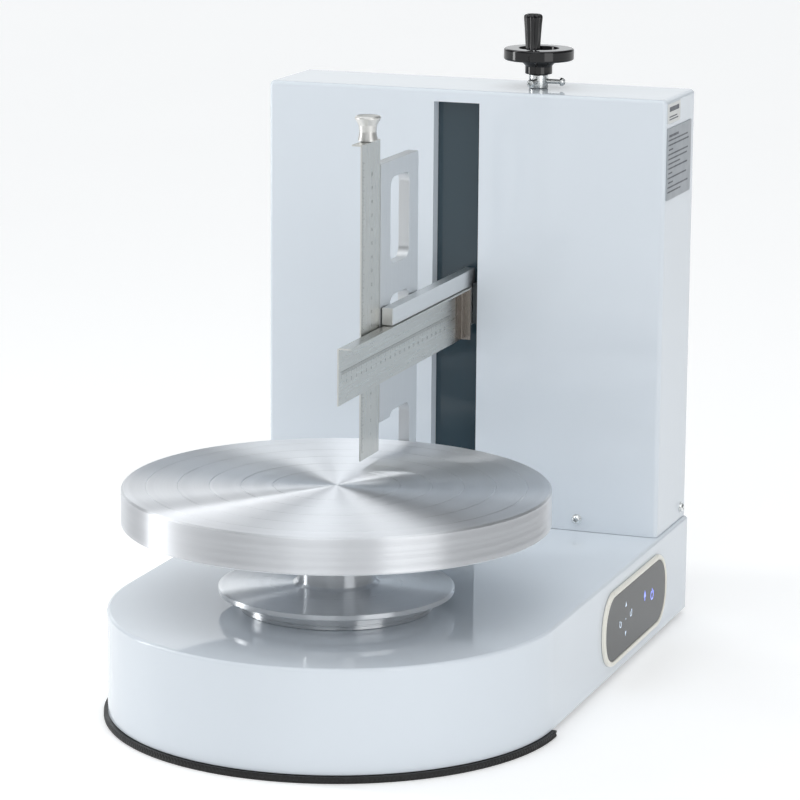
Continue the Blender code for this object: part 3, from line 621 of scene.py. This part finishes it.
def make_feet():
    for side in ("left", "right"):
        x, _, z = span(f"rear_foot_{side}")
        centre = middle(f"rear_foot_{side}")[:2]
        r = (x[1] - x[0]) / 2
        profile = [(0, z[1]), (r - 1.5, z[1], 0.8), (r, 1.5, 1.0), (r - 2, 0, 0.8)]
        profile += [(7.5, 0, 0.5), (6.5, 1.8, 0.4), (0, 1.8)]
        foot = turned(fillet(profile, 5, closed=False), centre, 64)
        piece(f"foot_{side}", foot, "rubber", "root", [f"rear_foot_{side}"], (*centre, 0))
        screw = case_screw((0, 0, -1), (*centre, 1.8), 3.2, 1.2)
        piece(f"foot_screw_{side}", screw, "zinc", "root")


# ---- tower


def make_tower():
    x, y, z = span("tower_shell")
    back = span("tower_rear_cover")[1][1]
    edge, wall = 3.5, 1.8

    def outline(inset):
        corner = max(edge - inset, 0.4)
        return rounded((x[0] + inset, x[1] - inset), (y[0] + inset, back - inset), corner, 8)

    layers = [(0.0, z[0])] + arc(edge, z[1] - edge, edge, 180, 90, 8)
    rings = [laid(outline(inset), pz) for inset, pz in layers]
    roof = z[1] - wall
    slot_x, slot_z, frame_back, lip = (-24.0, 12.7), (100.0, 407.0), y[0] + 11, 2.0
    inside = block((x[0] + wall, x[1] - wall), (y[0] + wall, back + 5), (z[0] - 5, roof))
    shell = boolean(shell_of(rings), [inside])
    frame_x = (slot_x[0] - lip, slot_x[1] + lip)
    frame_z = (slot_z[0] - lip, slot_z[1] + lip)
    shell = boolean(shell, [block(frame_x, (y[0] + 1, frame_back), frame_z)], "UNION")
    cutters = [
        block(slot_x, (y[0] - 5, frame_back + 5), slot_z),
        rod(6.2, roof - 5, z[1] + 5, middle("stop_collar")[:2]),
    ]
    shell = boolean(shell, cutters)
    box = piece("tower_box", shell, "paint", "root", ["tower_shell"], bevel=0.35)
    box.modifiers["edges"].angle_limit = math.radians(60)

    x, y, z = span("tower_rear_cover")
    cover = block(x, y, z)
    through = (y[0] - 3, y[1] + 3)
    lowest, pitch, wide, tall = 120, 12, 60, 4
    louvres = []
    for row in range(5):
        low = lowest + pitch * row
        for left in (-110, 50):
            louvres.append(prism(rounded((left, left + wide), (low, low + tall), 1.9), *through, "y"))
    cover = boolean(cover, louvres)
    piece("rear_cover", cover, "paint", "root", ["tower_rear_cover"], bevel=0.3)
    spots = [(sx, y[1], sz) for sx in (-150, 150) for sz in (90, 195, 300, 405)]
    screws = [case_screw((0, 1, 0), spot, 2.9, 1.9) for spot in spots]
    piece("rear_cover_screws", merged(screws), "zinc", "root")


def make_tower_screws():
    wall_x, wall_y, _ = span("tower_shell")
    for place in ("front", "side"):
        for side, sign in (("left", -1), ("right", 1)):
            node = f"tower_screw_{place}_{side}"
            x, y, z = middle(node)
            spot, way = (x, wall_y[0] - 0.05, z), (0, -1, 0)
            if place == "side":
                spot, way = (sign * (wall_x[1] + 0.05), y, z), (sign, 0, 0)
            screw = case_screw(way, spot, 3.4, 2.3, 4.1)
            piece(f"wall_screw_{place}_{side}", screw, "zinc", "root", [node])


def make_labels():
    """A grey data label and a small white one, printed with plain bars and no words."""
    x, y, z = span("info_label")
    z = (z[0], z[1] + 2.5)
    plate = prism(rounded(y, z, 1.2), x[0] - 0.25, x[1], "x")
    piece("data_label", plate, "film", "root", ["info_label"])
    bars = []
    widths = (0.45, 0.9, 0.95, 0.2, 0.92, 0.88, 0.55, 0.9, 0.18, 0.86, 0.22, 0.94, 0.6)
    pitch = (z[1] - z[0] - 8) / len(widths)
    for number, width in enumerate(widths):
        top = z[1] - 5 - number * pitch
        tall = 1.9 if number == 0 else 1.2
        left = y[0] + 4
        right = left + (y[1] - y[0] - 8) * width
        bars.append(block((x[1] - 0.02, x[1] + 0.05), (left, right), (top - tall, top)))
        if number and width > 0.5:
            bars.append(block((x[1] - 0.02, x[1] + 0.05), (left - 2, left - 1), (top - tall, top)))
    piece("data_label_print", merged(bars), "ink", "root")

    y, z = (272.5, 306.5), (398, 413)
    plate = prism(rounded(y, z, 1.0), x[0] - 0.25, x[0] + 0.2, "x")
    piece("small_label", plate, "paper", "root")
    face = (x[0] + 0.18, x[0] + 0.25)
    marks = [
        block(face, (y[0] + 4, y[1] - 4), (z[1] - 6, z[1] - 2.5)),
        block(face, (y[0] + 4, y[1] - 9), (z[0] + 4.6, z[0] + 5.5)),
        block(face, (y[0] + 4, y[1] - 6), (z[0] + 2.6, z[0] + 3.5)),
    ]
    piece("small_label_print", merged(marks), "ink", "root")


# ---- turntable


def make_spindle():
    x, _, z = span("spindle_housing")
    r, top = x[1], z[1]
    floor = span("base_housing")[2][1] + GAP
    neck, bore, waist = 32, 21.3, 17
    waist_low, waist_high = 49, 76.5  # the bearings stand below and above it
    profile = [
        (bore, top, 0.4), (r, top, 0.9), (r, floor + 3.4, 0.2), (r - 0.5, floor + 3.0, 0.2),
        (r - 0.5, floor + 2.4, 0.2), (r, floor + 2.0, 0.2), (r, floor, 0.3), (neck, floor),
        (neck, z[0], 0.5), (bore, z[0], 0.5), (bore, waist_low), (waist, waist_low),
        (waist, waist_high), (bore, waist_high),
    ]
    ring = turned(fillet(profile, 4), steps=160)
    piece("spindle_ring", ring, "hub", "root", ["spindle_housing"])


def make_turntable():
    x, _, z = span("turntable_plate")
    r, low, top = x[1], z[0], z[1]
    under, rim = top - 6.0, r - 4.5
    spigot, seat, spigot_top = 8.3, 141.3, 156.5
    profile = [(0, top - 0.7), (0.7, top - 0.1), (1.0, top)]
    for ring in (45.0, 67.5, 90.0, 112.5, 135.0):
        profile += [(ring - 0.45, top), (ring, top - 0.4), (ring + 0.45, top)]
    profile += [
        (r - 1.5, top, 0.3), (r - 0.15, top - 1.3, 0.6), (r, low + 0.9, 0.4), (r - 1.0, low, 0.4),
        (rim, low, 0.5), (rim, under, 2.0), (31, under, 1.5), (28, seat, 0.3), (spigot, seat),
        (spigot, spigot_top), (0, spigot_top),
    ]
    disc = turned(fillet(profile, 4, closed=False), steps=256)
    piece("turntable_disc", disc, "disc", "turntable", ["turntable_plate"], sharp=20)

    x, _, z = span("hub_column")
    r, low, top = x[1], z[0], z[1]
    profile = [
        (10, low, 0.3), (r, low, 0.8), (r, 94.3, 0.5), (r - 1.6, 94.6, 0.3), (30.6, 96.5, 2.5),
        (27.6, 98.6, 1.5), (27.6, top, 0.4), (10, top),
    ]
    column = turned(fillet(profile, 5), steps=192)
    piece("column_and_disc", column, "hub", "turntable", ["hub_column"], sharp=20)


# ---- controls


POWER_KEY = (240.5, 42.4)
START_KEY = (220.5, 47.5)
SPEED_KEYS = (170.0, 41.5)


def inset_panel(y, z, radius, inset):
    """The panel's outline, drawn in by an inset."""
    return rounded((y[0] + inset, y[1] - inset), (z[0] + inset, z[1] - inset), radius - inset, 16)


def icon_ring(y, z, outer, inner, gap, x):
    """A ring in the panel's plane, open by gap degrees at its top."""
    start, end = 90 + gap / 2, 450 - gap / 2
    outline = arc(y, z, outer, start, end, 40) + arc(y, z, inner, end, start, 40)
    return prism(outline, x[0], x[1], "x")


def icon_arrow(y, z, size, turn, x):
    """A triangle in the panel's plane, pointing turn degrees from +Y."""
    corners = [math.radians(turn + corner) for corner in (0, 130, 230)]
    outline = [(y + size * math.cos(corner), z + size * math.sin(corner)) for corner in corners]
    return prism(outline, x[0], x[1], "x")


def make_controls():
    x, y, z = span("control_bezel")
    face_y, face_z = span("control_panel")[1:]
    radius, lip = 22.0, 4.0
    back, front = x
    rings = [[(back, v, w) for v, w in inset_panel(face_y, face_z, radius, -GAP)]]
    rows = [(0.0, back), (0.0, front - 1.4), (0.35, front - 0.55), (1.0, front - 0.1), (1.8, front),
            (lip - 1.5, front), (lip - 0.8, front - 0.15), (lip - GAP, front - 0.5)]
    for inset, px in rows:
        rings.append([(px, v, w) for v, w in inset_panel(y, z, radius + lip, inset)])
    piece("panel_rim", shell_of(rings, closed=True), "cream", "root", ["control_bezel"])

    front = span("control_panel")[0][1]
    rings = []
    for inset, px in ((0.0, back), (0.0, front - 0.5), (0.15, front - 0.15), (0.5, front)):
        rings.append([(px, v, w) for v, w in inset_panel(face_y, face_z, radius, inset)])
    piece("touch_face", shell_of(rings), "glass", "root", ["control_panel"])

    deep = (front - 0.05, front + 0.06)
    power = [icon_ring(*POWER_KEY, 4.0, 3.0, 60, deep)]
    stem = (POWER_KEY[0] - 0.5, POWER_KEY[0] + 0.5)
    power.append(block(deep, stem, (POWER_KEY[1] + 1.2, POWER_KEY[1] + 5.0)))
    piece("power_mark", merged(power), "blue_glow", "root")
    start = [icon_arrow(*START_KEY, 3.2, 90, deep)]
    stem = (START_KEY[0] - 0.5, START_KEY[0] + 0.5)
    start.append(block(deep, stem, (START_KEY[1] - 5.0, START_KEY[1] - 1.0)))
    piece("start_mark", merged(start), "blue_glow", "root")
    mid_y, mid_z = SPEED_KEYS
    marks = [
        icon_arrow(mid_y, mid_z + 11, 2.2, 90, deep),
        icon_arrow(mid_y, mid_z - 11, 2.2, 270, deep),
        rod(0.6, deep[0], deep[1], (mid_y, mid_z), "x", 24),
    ]
    for side in (-1, 1):
        centre = (mid_y + side * 13.5, mid_z + side)
        marks.append(icon_ring(*centre, 2.6, 1.8, 90, deep))
        marks.append(icon_arrow(centre[0] + side * 1.8, centre[1] + 2.2, 1.3, 90 - side * 70, deep))
    piece("key_marks", merged(marks), "white_glow", "root")


def make_rear_fittings():
    x, y, z = span("power_inlet")
    back = span("base_housing")[1][1]
    mx, mz = INLET_X, FITTING_Z
    socket_floor, blade_tips = 334, 347
    flange = prism(rounded(x, z, 3.0), back + 0.05, y[1], "y")
    body = block((mx - 13.5, mx + 13.5), (y[0], back + 1), (mz - 9.5, mz + 9.5))
    socket = [(mx - 12, mz - 8, 1), (mx + 12, mz - 8, 1), (mx + 12, mz + 3.5, 1), (mx + 7.5, mz + 8, 1)]
    socket += [(mx - 7.5, mz + 8, 1), (mx - 12, mz + 3.5, 1)]
    inlet = boolean(flange, [body], "UNION")
    inlet = boolean(inlet, [prism(fillet(socket, 4), socket_floor, y[1] + 3, "y")])
    piece("mains_inlet", inlet, "black", "root", ["power_inlet"], bevel=0.3)
    blades = []
    for bx, bz in ((mx - 7, mz - 2), (mx, mz + 2), (mx + 7, mz - 2)):
        outline = rounded((bx - 1, bx + 1), (bz - 2, bz + 2), 0.5, 3)
        blades.append(prism(outline, socket_floor - 1, blade_tips, "y"))
    piece("inlet_blades", merged(blades), "zinc", "root", bevel=0.3)

    x, y, z = span("switch_frame")
    mx, mz, frame_floor = SWITCH_X, FITTING_Z, 338
    flange = prism(rounded(x, z, 1.8), back + 0.05, y[1], "y")
    case = block((mx - 11, mx + 11), (y[0], back + 1), (mz - 8, mz + 8))
    frame_mesh = boolean(flange, [case], "UNION")
    opening = rounded((mx - 10, mx + 10), (mz - 7.2, mz + 7.2), 0.8, 4)
    frame_mesh = boolean(frame_mesh, [prism(opening, frame_floor, y[1] + 3, "y")])
    piece("rocker_frame", frame_mesh, "black", "root", ["switch_frame"], bevel=0.3)

    x, y, z = span("power_rocker")
    pivot, tilt = 348.3, math.radians(8.0)
    profile = [(2.6, 6.2, 0.5), (0.8, 0.0, 8.0), (2.6, -6.2, 0.5), (-1.5, -6.2)]
    profile += [(-5.0, -3.5), (-5.0, 3.5), (-1.5, 6.2)]
    lean = []
    for dy, dz in fillet(profile, 6):
        lean.append((pivot + dy * math.cos(tilt) - dz * math.sin(tilt),
                     mz + dy * math.sin(tilt) + dz * math.cos(tilt)))
    key = prism(lean, x[0], x[1], "x")
    piece("rocker_key", key, "bakelite", "rocker", ["power_rocker"], bevel=0.35)


# ---- lift


WHEEL_X, WHEEL_Y, _ = middle("handwheel")
GRIP_X, GRIP_Y, _ = middle("handle_grip")


def make_handwheel():
    x, _, z = span("handwheel")
    r, low, high = (x[1] - x[0]) / 2, z[0], z[1]
    rim = high - 9.0
    bore = 5.3
    profile = [
        (bore, low), (10.5, low, 0.6), (10.5, low + 6.2, 1.5), (14.8, rim, 3.0), (r, rim, 1.6),
        (r, high, 1.6), (15.5, high, 0.8), (14.6, high - 6.2, 1.6), (9.2, high - 6.2, 0.8),
        (9.0, high - 2.2, 0.8), (bore, high - 2.2, 0.3),
    ]
    wheel = turned(fillet(profile, 6), (WHEEL_X, WHEEL_Y), 160)
    wheel = boolean(wheel, [rod(2.8, high - 6.2, high + 5, (GRIP_X, GRIP_Y))])
    piece("hand_wheel", wheel, "bakelite", "handwheel_assembly", ["handwheel"], (WHEEL_X, WHEEL_Y, 0))

    _, _, z = span("lead_screw")
    screw = threaded(5.0, 0.9, 2.0, z[1] - z[0], starts=4, around=32)
    bmesh.ops.translate(screw, verts=screw.verts, vec=(WHEEL_X, WHEEL_Y, z[0]))
    piece("lift_screw", screw, "ground", "handwheel_assembly", ["lead_screw"], (WHEEL_X, WHEEL_Y, 0))

    _, _, z = span("stop_collar")
    collar_r = 7.5
    profile = [(bore, z[0]), (collar_r, z[0], 0.5), (collar_r, z[1], 0.7), (bore, z[1], 0.3)]
    collar = turned(fillet(profile, 4), (WHEEL_X, WHEEL_Y), 96)
    mid = 422.0
    holes = [
        rod(2.1, WHEEL_X + 3, WHEEL_X + 12, (WHEEL_Y, mid), "x"),
        rod(2.1, WHEEL_Y - 12, WHEEL_Y - 3, (WHEEL_X, mid), "y"),
    ]
    piece("screw_collar", boolean(collar, holes), "zinc", "handwheel_assembly",
          ["stop_collar"], (WHEEL_X, WHEEL_Y, 0))
    for side, way in (("right", (1, 0, 0)), ("front", (0, -1, 0))):
        shank = threaded(1.9, 0.32, 0.7, 12.4)
        head = pan_head(3.2, 3.2)
        bmesh.ops.translate(head, verts=head.verts, vec=(0, 0, 12.0))
        bolt = boolean(shank, [head], "UNION")
        spot = Vector((WHEEL_X, WHEEL_Y, mid)) + Vector(way) * 5.8
        bolt = aim(bolt, way, spot)
        piece(f"collar_bolt_{side}", bolt, "zinc", "handwheel_assembly", [f"collar_screw_{side}"])


def make_grip():
    """A tapered grip with nine rounded flutes that run out over its crown."""
    low, high = span("handle_grip")[2]
    flutes = 9
    around = flutes * 12
    stations = [(5.0, low), (5.6, low + 0.5), (5.7, low + 2), (6.05, low + 8), (6.5, low + 15)]
    stations += [(6.95, low + 21), (7.25, high - 3.4), (7.3, high - 2.2), (7.05, high - 1.0)]
    stations += [(6.4, high - 0.3), (5.5, high)]
    rings = []
    for reach, pz in stations:
        depth = min(1.0, (pz - low) / 3.0)
        ring = []
        for k in range(around):
            angle = 2 * math.pi * k / around
            lobe = abs(math.cos(flutes * angle / 2))
            r = reach - depth * (1 - lobe)
            ring.append((GRIP_X + r * math.cos(angle), GRIP_Y + r * math.sin(angle), pz))
        rings.append(ring)
    axis = (GRIP_X, GRIP_Y)
    dimple = [laid(circle(4.6, around, axis), high - 0.4), laid(circle(4.1, around, axis), high - 1.4)]
    dimple.append([(*axis, high - 1.6)])
    bore, bore_top = 2.8, high - 4.5
    hole = [[(*axis, bore_top)], laid(circle(bore, around, axis), bore_top)]
    hole.append(laid(circle(bore, around, axis), low))
    handle = shell_of(hole + rings + dimple)
    piece("grip_handle", handle, "bakelite", "grip", ["handle_grip"], (*axis, 0), sharp=50)


def make_arm():
    x, y, z = span("arm_beam")
    leg_y, beam_z = 268.0, 266.0
    outline = [(y[0], beam_z), (leg_y, beam_z, 0.8), (leg_y, z[0]), (y[1], z[0]), (y[1], z[1])]
    bar = prism(fillet(outline + [(y[0], z[1])], 4), x[0], x[1], "x")
    screws = ("lower", "upper")
    holes = [rod(1.9, -5, 18, middle(f"arm_screw_{screw}")[1:], "x") for screw in screws]
    piece("arm_bar", boolean(bar, holes), "bar", "lift", ["arm_beam"], bevel=0.55)
    for screw in screws:
        reach = span(f"arm_screw_{screw}")[0][1]
        place = middle(f"arm_screw_{screw}")[1:]
        shank = aim(threaded(1.6, 0.25, 0.7, reach - 0.2), (1, 0, 0), (-0.1, *place))
        head = case_screw((-1, 0, 0), (-0.05, *place), 3.0, 2.4)
        bolt = merged([shank, head])
        piece(f"arm_bolt_{screw}", bolt, "zinc", "lift", [f"arm_screw_{screw}"])


# ---- scrapers


def make_holder():
    x, y, z = span("holder_plate")
    window_y, r = (110.0, 150.0), 8.0
    foot, notch, leg = 193.5, 197.5, 153.3
    rise = math.degrees(math.asin((r - notch + foot) / r))
    outline = [(y[0], z[1]), (y[0], foot)]
    outline += arc(window_y[0] + r, notch - r, r, 180 - rise, 90, 10)
    outline += arc(leg - r, notch - r, r, 90, 0, 14)
    outline += [(leg, z[0]), (y[1], z[0])] + arc(y[1] - 2, z[1] - 2, 2, 0, 90, 6)
    plate = prism(outline, x[0], x[1], "x")
    through = (x[0] - 5, x[1] + 5)
    cutters = [prism(rounded(window_y, z, r, 14), *through, "x") for z in ((225, 284), (307, 371))]
    for magnet in ("front", "rear"):
        place = middle(f"holder_magnet_{magnet}")[1:]
        cutters.append(rod(5.3, x[1] - 3.5, x[1] + 5, place, "x"))
    piece("holder", boolean(plate, cutters), "holder", "side_holder", ["holder_plate"], bevel=0.6)


def digits(text, size, place, deep):
    """A short number as a thin mesh on a face that looks along +X."""
    curve = bpy.data.curves.new("digits", "FONT")
    curve.body = text
    curve.size = size
    curve.extrude = deep
    curve.resolution_u = 2
    curve.align_x = "CENTER"
    curve.align_y = "CENTER"
    obj = placed("digits", curve)
    data = bpy.data.meshes.new_from_object(obj.evaluated_get(bpy.context.evaluated_depsgraph_get()))
    mesh = bmesh.new()
    mesh.from_mesh(data)
    bmesh.ops.remove_doubles(mesh, verts=mesh.verts, dist=1e-5)
    bpy.data.objects.remove(obj)
    bpy.data.meshes.remove(data)
    stand = Matrix(((0, 0, 1), (1, 0, 0), (0, 1, 0))).to_4x4()
    bmesh.ops.transform(mesh, matrix=Matrix.Translation(place) @ stand, verts=mesh.verts)
    return mesh


def scale_marks(face, start, end, edge, along, up, number_at):
    """Millimetre lines from an edge of a ruler, longer at 5 and 10, with a number each 10."""
    deep = (face - 0.03, face + 0.02)
    marks = []
    for step in range(int(end - start) + 1):
        tall = 5.0 if step % 10 == 0 else 3.6 if step % 5 == 0 else 2.4
        place = (start + step - 0.11, start + step + 0.11)
        reach = tuple(sorted((edge, edge + up * tall)))
        if along == "y":
            marks.append(block(deep, place, reach))
        else:
            marks.append(block(deep, reach, place))
        if step % 10 == 0 and 0 < step < end - start - 2:
            spot = (start + step, number_at) if along == "y" else (number_at, start + step)
            marks.append(digits(str(step // 10), 3.4, (face - 0.01, *spot), 0.03))
    return marks


def make_side_ruler():
    x, y, z = span("side_scraper_blade")
    sheet = 1.0
    section = [(x[1], y[0]), (x[1], y[1], 1.3), (x[0], y[1]), (x[0], y[1] - sheet)]
    section += [(x[1] - sheet, y[1] - sheet, 0.4), (x[1] - sheet, y[0])]
    blade = prism(fillet(section, 6), z[0], z[1])
    tab = block((x[0], x[1] - 0.4), (y[0] + 2, y[1] - 0.4), (z[1] - sheet, z[1]))
    blade = boolean(blade, [tab], "UNION")
    piece("side_ruler", blade, "ruler_z", "side_scraper", ["side_scraper_blade"], bevel=0.12)
    marks = scale_marks(x[1], z[0] + 6, z[1] - 12, y[0] + 1.2, "z", 1, y[0] + 21)
    piece("side_ruler_scale", merged(marks), "etched", "side_scraper")

    centre = middle("scraper_knob")[:2]
    low, high = span("scraper_knob")[2]
    profile = [
        (0, high - 0.5), (6.0, high - 0.5, 2.0), (8.0, high, 0.8), (9.4, high - 0.9, 0.7),
        (9.3, high - 2.3, 0.7), (6.6, high - 6.8, 3.0), (6.1, low + 6.5, 4.0), (7.1, low + 1.4, 0.8),
        (7.2, low, 0.4), (0, low),
    ]
    knob = turned(fillet(profile, 6, closed=False), centre, 128)
    piece("pull_knob", knob, "knob", "side_scraper", ["scraper_knob"], (*centre, 0))


def make_top_ruler():
    x, y, z = span("top_scraper_blade")
    sheet = 1.0
    section = [(x[0], z[0]), (x[0] + sheet, z[0]), (x[0] + sheet, z[1] - sheet, 0.4), (x[1], z[1] - sheet)]
    section += [(x[1], z[1]), (x[0], z[1], 1.3)]
    blade = prism(fillet(section, 6), y[0], y[1] - sheet, "y")
    # The ruler's last 16 mm and its end tab are a piece of their own, in the same steel coloured darker: a
    # painted dark reflection.
    tab_start, tab_reach, tab_top = y[1] - 16, 8, z[1] - 1.4
    end = block((x[0] - 1, x[0] + 2), (tab_start, y[1] + 1), (z[0] - 1, tab_top))
    piece("top_ruler", boolean(blade, [end]), "ruler_y", "top_scraper", ["top_scraper_blade"], bevel=0.12)
    plan = [(x[0], tab_start), (x[0] + sheet, tab_start), (x[0] + sheet, y[1] - sheet, 0.4)]
    plan += [(tab_reach, y[1] - sheet), (tab_reach, y[1]), (x[0], y[1], 1.3)]
    tab = prism(fillet(plan, 6), z[0], tab_top)
    piece("top_ruler_end", tab, "ruler_end", "top_scraper", bevel=0.12)
    line = z[1] - 18.0
    face = x[0] + sheet
    marks = scale_marks(face, y[0] + 6, y[1] - 30, line, "y", -1, line - 8.2)
    marks.append(block((face - 0.03, face + 0.02), (y[0] + 4, y[1] - 28), (line - 0.05, line + 0.22)))
    piece("top_ruler_scale", merged(marks), "etched", "top_scraper")


# ---- inner pieces


INNER_FINISHES = {
    # each finish, with the inner CAD nodes that take it
    "sheet": "base_plate tower_floor_frame motor_bracket",
    "cast": "power_supply lower_guide_block upper_guide_block carriage_block driven_pulley motor_pulley",
    "ground": "lower_screw_bearing upper_screw_bearing lower_spindle_bearing upper_spindle_bearing"
              " guide_rod_left guide_rod_right spindle_shaft motor_shaft handle_pin",
    "bronze": "lead_nut guide_bush_left guide_bush_right",
    "magnet": "holder_magnet_front holder_magnet_rear",
    "slot": "slot_panel",
    "zinc": "drive_motor",
    "belt": "timing_belt",
    "board": "control_board",
    "dark_steel": "arm_neck",
}


def finish_cad_nodes():
    """The inner pieces keep their CAD shape and take a procedural finish each."""
    for finish, nodes in INNER_FINISHES.items():
        for node in nodes.split():
            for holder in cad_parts[node].material_slots:
                holder.material = MATERIALS[finish]


# ---- studio


def make_floor():
    n = Nodes("studio_floor")
    n.finish(
        Base_Color=n.tint(n.noise(n.object, 3, 2), (0.86, 0.86, 0.86), (0.88, 0.88, 0.88)),
        Roughness=0.6,
        Emission_Color=(1, 1, 1, 1),
        Emission_Strength=0.27,
    )
    reach, level = 12.0, -0.0002  # in metres
    corners = ((-reach, -reach), (reach, -reach), (reach, reach), (-reach, reach))
    mesh = bmesh.new()
    mesh.faces.new([mesh.verts.new((x, y, level)) for x, y in corners])
    floor = placed("studio_floor", data_of("studio_floor", mesh))
    floor.data.materials.append(n.material)


CAMERA_PLACE = (871.3, -2278.6, 750.3)
CAMERA_TURNS = ((19.886, "Z"), (77.929, "X"), (0.425, "Z"))  # turn, tilt from straight down, roll
CARDS = (
    # azimuth from the camera, half width, lowest and highest elevation in degrees, level
    (0, 180, 55, 90, 1.22),  # overhead scrim
    (0, 180, 17, 55, 0.25),  # pale walls
    (-157, 14, 15, 50, 0.8),  # left rear panel
    (-14, 14, 17, 55, 0.9),  # strip beside the camera
    (180, 34, -10, 20, 0.78),  # white background
    (-5, 48, 30, 70, 0.7),  # scrim above the camera
    (0, 180, -90, 17, 0.2),  # the dim room
)
BACKDROP = 1.04  # what the camera itself sees past the floor
BOXES = (
    # name, azimuth from the camera, distance, lower edge, width and height in metres, radiance
    ("left_softbox", -100, 1.30, 0.12, 0.24, 2.1, 6.2),
    ("right_softbox", 36, 1.50, 0.12, 0.80, 1.4, 1.4),
)


class Sky:
    """A world of soft light cards, each a patch of azimuth and elevation."""

    def __init__(self):
        world = bpy.data.worlds.new("studio")
        bpy.context.scene.world = world
        world.use_nodes = True
        self.tree = world.node_tree
        self.background = self.tree.nodes["Background"]
        self.direction = self.tree.nodes.new("ShaderNodeTexCoord").outputs["Generated"]
        self.height = self.split(self.direction)["Z"]

    def split(self, vector):
        node = self.tree.nodes.new("ShaderNodeSeparateXYZ")
        self.tree.links.new(vector, node.inputs[0])
        return node.outputs

    def maths(self, operation, *values):
        node = self.tree.nodes.new("ShaderNodeMath")
        node.operation = operation
        for socket, value in zip(node.inputs, values):
            if isinstance(value, bpy.types.NodeSocket):
                self.tree.links.new(value, socket)
            else:
                socket.default_value = value
        return node.outputs[0]

    def step(self, value, edge, blur):
        """0 below an edge and 1 above it, with a soft change; a negative blur turns it round."""
        return self.maths("SMOOTH_MIN", self.maths("MAXIMUM", self.ramp(value, edge, blur), 0.0), 1.0, 0.1)

    def ramp(self, value, edge, blur):
        return self.maths("ADD", self.maths("DIVIDE", self.maths("SUBTRACT", value, edge), blur), 0.5)

    def card(self, azimuth, half, low, high, level):
        """A patch of light, level inside its azimuths and elevations and 0 outside them."""
        turn = self.tree.nodes.new("ShaderNodeVectorRotate")
        turn.rotation_type = "Z_AXIS"
        facing = math.degrees(math.atan2(CAMERA_PLACE[1], CAMERA_PLACE[0]))
        turn.inputs["Angle"].default_value = -math.radians(facing + azimuth)
        self.tree.links.new(self.direction, turn.inputs["Vector"])
        parts = self.split(turn.outputs[0])
        off = self.maths("ABSOLUTE", self.maths("ARCTAN2", parts["Y"], parts["X"]))
        inside = self.step(self.height, math.sin(math.radians(low)), 0.06)
        if high < 90:
            below = self.step(self.height, math.sin(math.radians(high)), -0.06)
            inside = self.maths("MULTIPLY", inside, below)
        if half < 180:
            inside = self.maths("MULTIPLY", inside, self.step(off, math.radians(half), -math.radians(5)))
        return self.maths("MULTIPLY", inside, level)


def softbox(name, azimuth, distance, bottom, width, height, radiance):
    """An upright light on a stand, which faces the turntable."""
    light = bpy.data.lights.new(name, "AREA")
    light.shape = "RECTANGLE"
    light.size, light.size_y = width, height
    light.energy = radiance * math.pi * width * height
    obj = placed(name, light)
    angle = math.atan2(CAMERA_PLACE[1], CAMERA_PLACE[0]) + math.radians(azimuth)
    way = Vector((math.cos(angle), math.sin(angle), 0))
    obj.location = way * distance + Vector((0, 0, bottom + height / 2))
    obj.rotation_euler = (-way).to_track_quat("-Z", "Y").to_euler()


def make_studio():
    for box in BOXES:
        softbox(*box)
    sky = Sky()
    total = sky.card(*CARDS[0])
    for card in CARDS[1:]:
        total = sky.maths("ADD", total, sky.card(*card))
    seen = sky.tree.nodes.new("ShaderNodeLightPath").outputs["Is Camera Ray"]
    behind = sky.maths("ADD", total, sky.maths("MULTIPLY", seen, sky.maths("SUBTRACT", BACKDROP, total)))
    sky.tree.links.new(behind, sky.background.inputs["Strength"])
    sky.background.inputs["Color"].default_value = (0.965, 0.985, 1.0, 1)


def make_camera():
    data = bpy.data.cameras.new("camera")
    data.lens = 159.49
    data.sensor_width = 36.0
    camera = placed("camera", data)
    view = Matrix.Translation(at(*CAMERA_PLACE))
    for degrees, axis in CAMERA_TURNS:
        view = view @ Matrix.Rotation(math.radians(degrees), 4, axis)
    camera.matrix_world = view
    bpy.context.scene.camera = camera
    bpy.context.scene.view_settings.view_transform = "Standard"


def main():
    make_camera()
    make_studio()
    make_floor()
    make_base()
    make_strip()
    make_feet()
    make_tower()
    make_tower_screws()
    make_labels()
    make_spindle()
    make_turntable()
    make_controls()
    make_rear_fittings()
    make_handwheel()
    make_grip()
    make_arm()
    make_holder()
    make_side_ruler()
    make_top_ruler()
    finish_cad_nodes()


main()
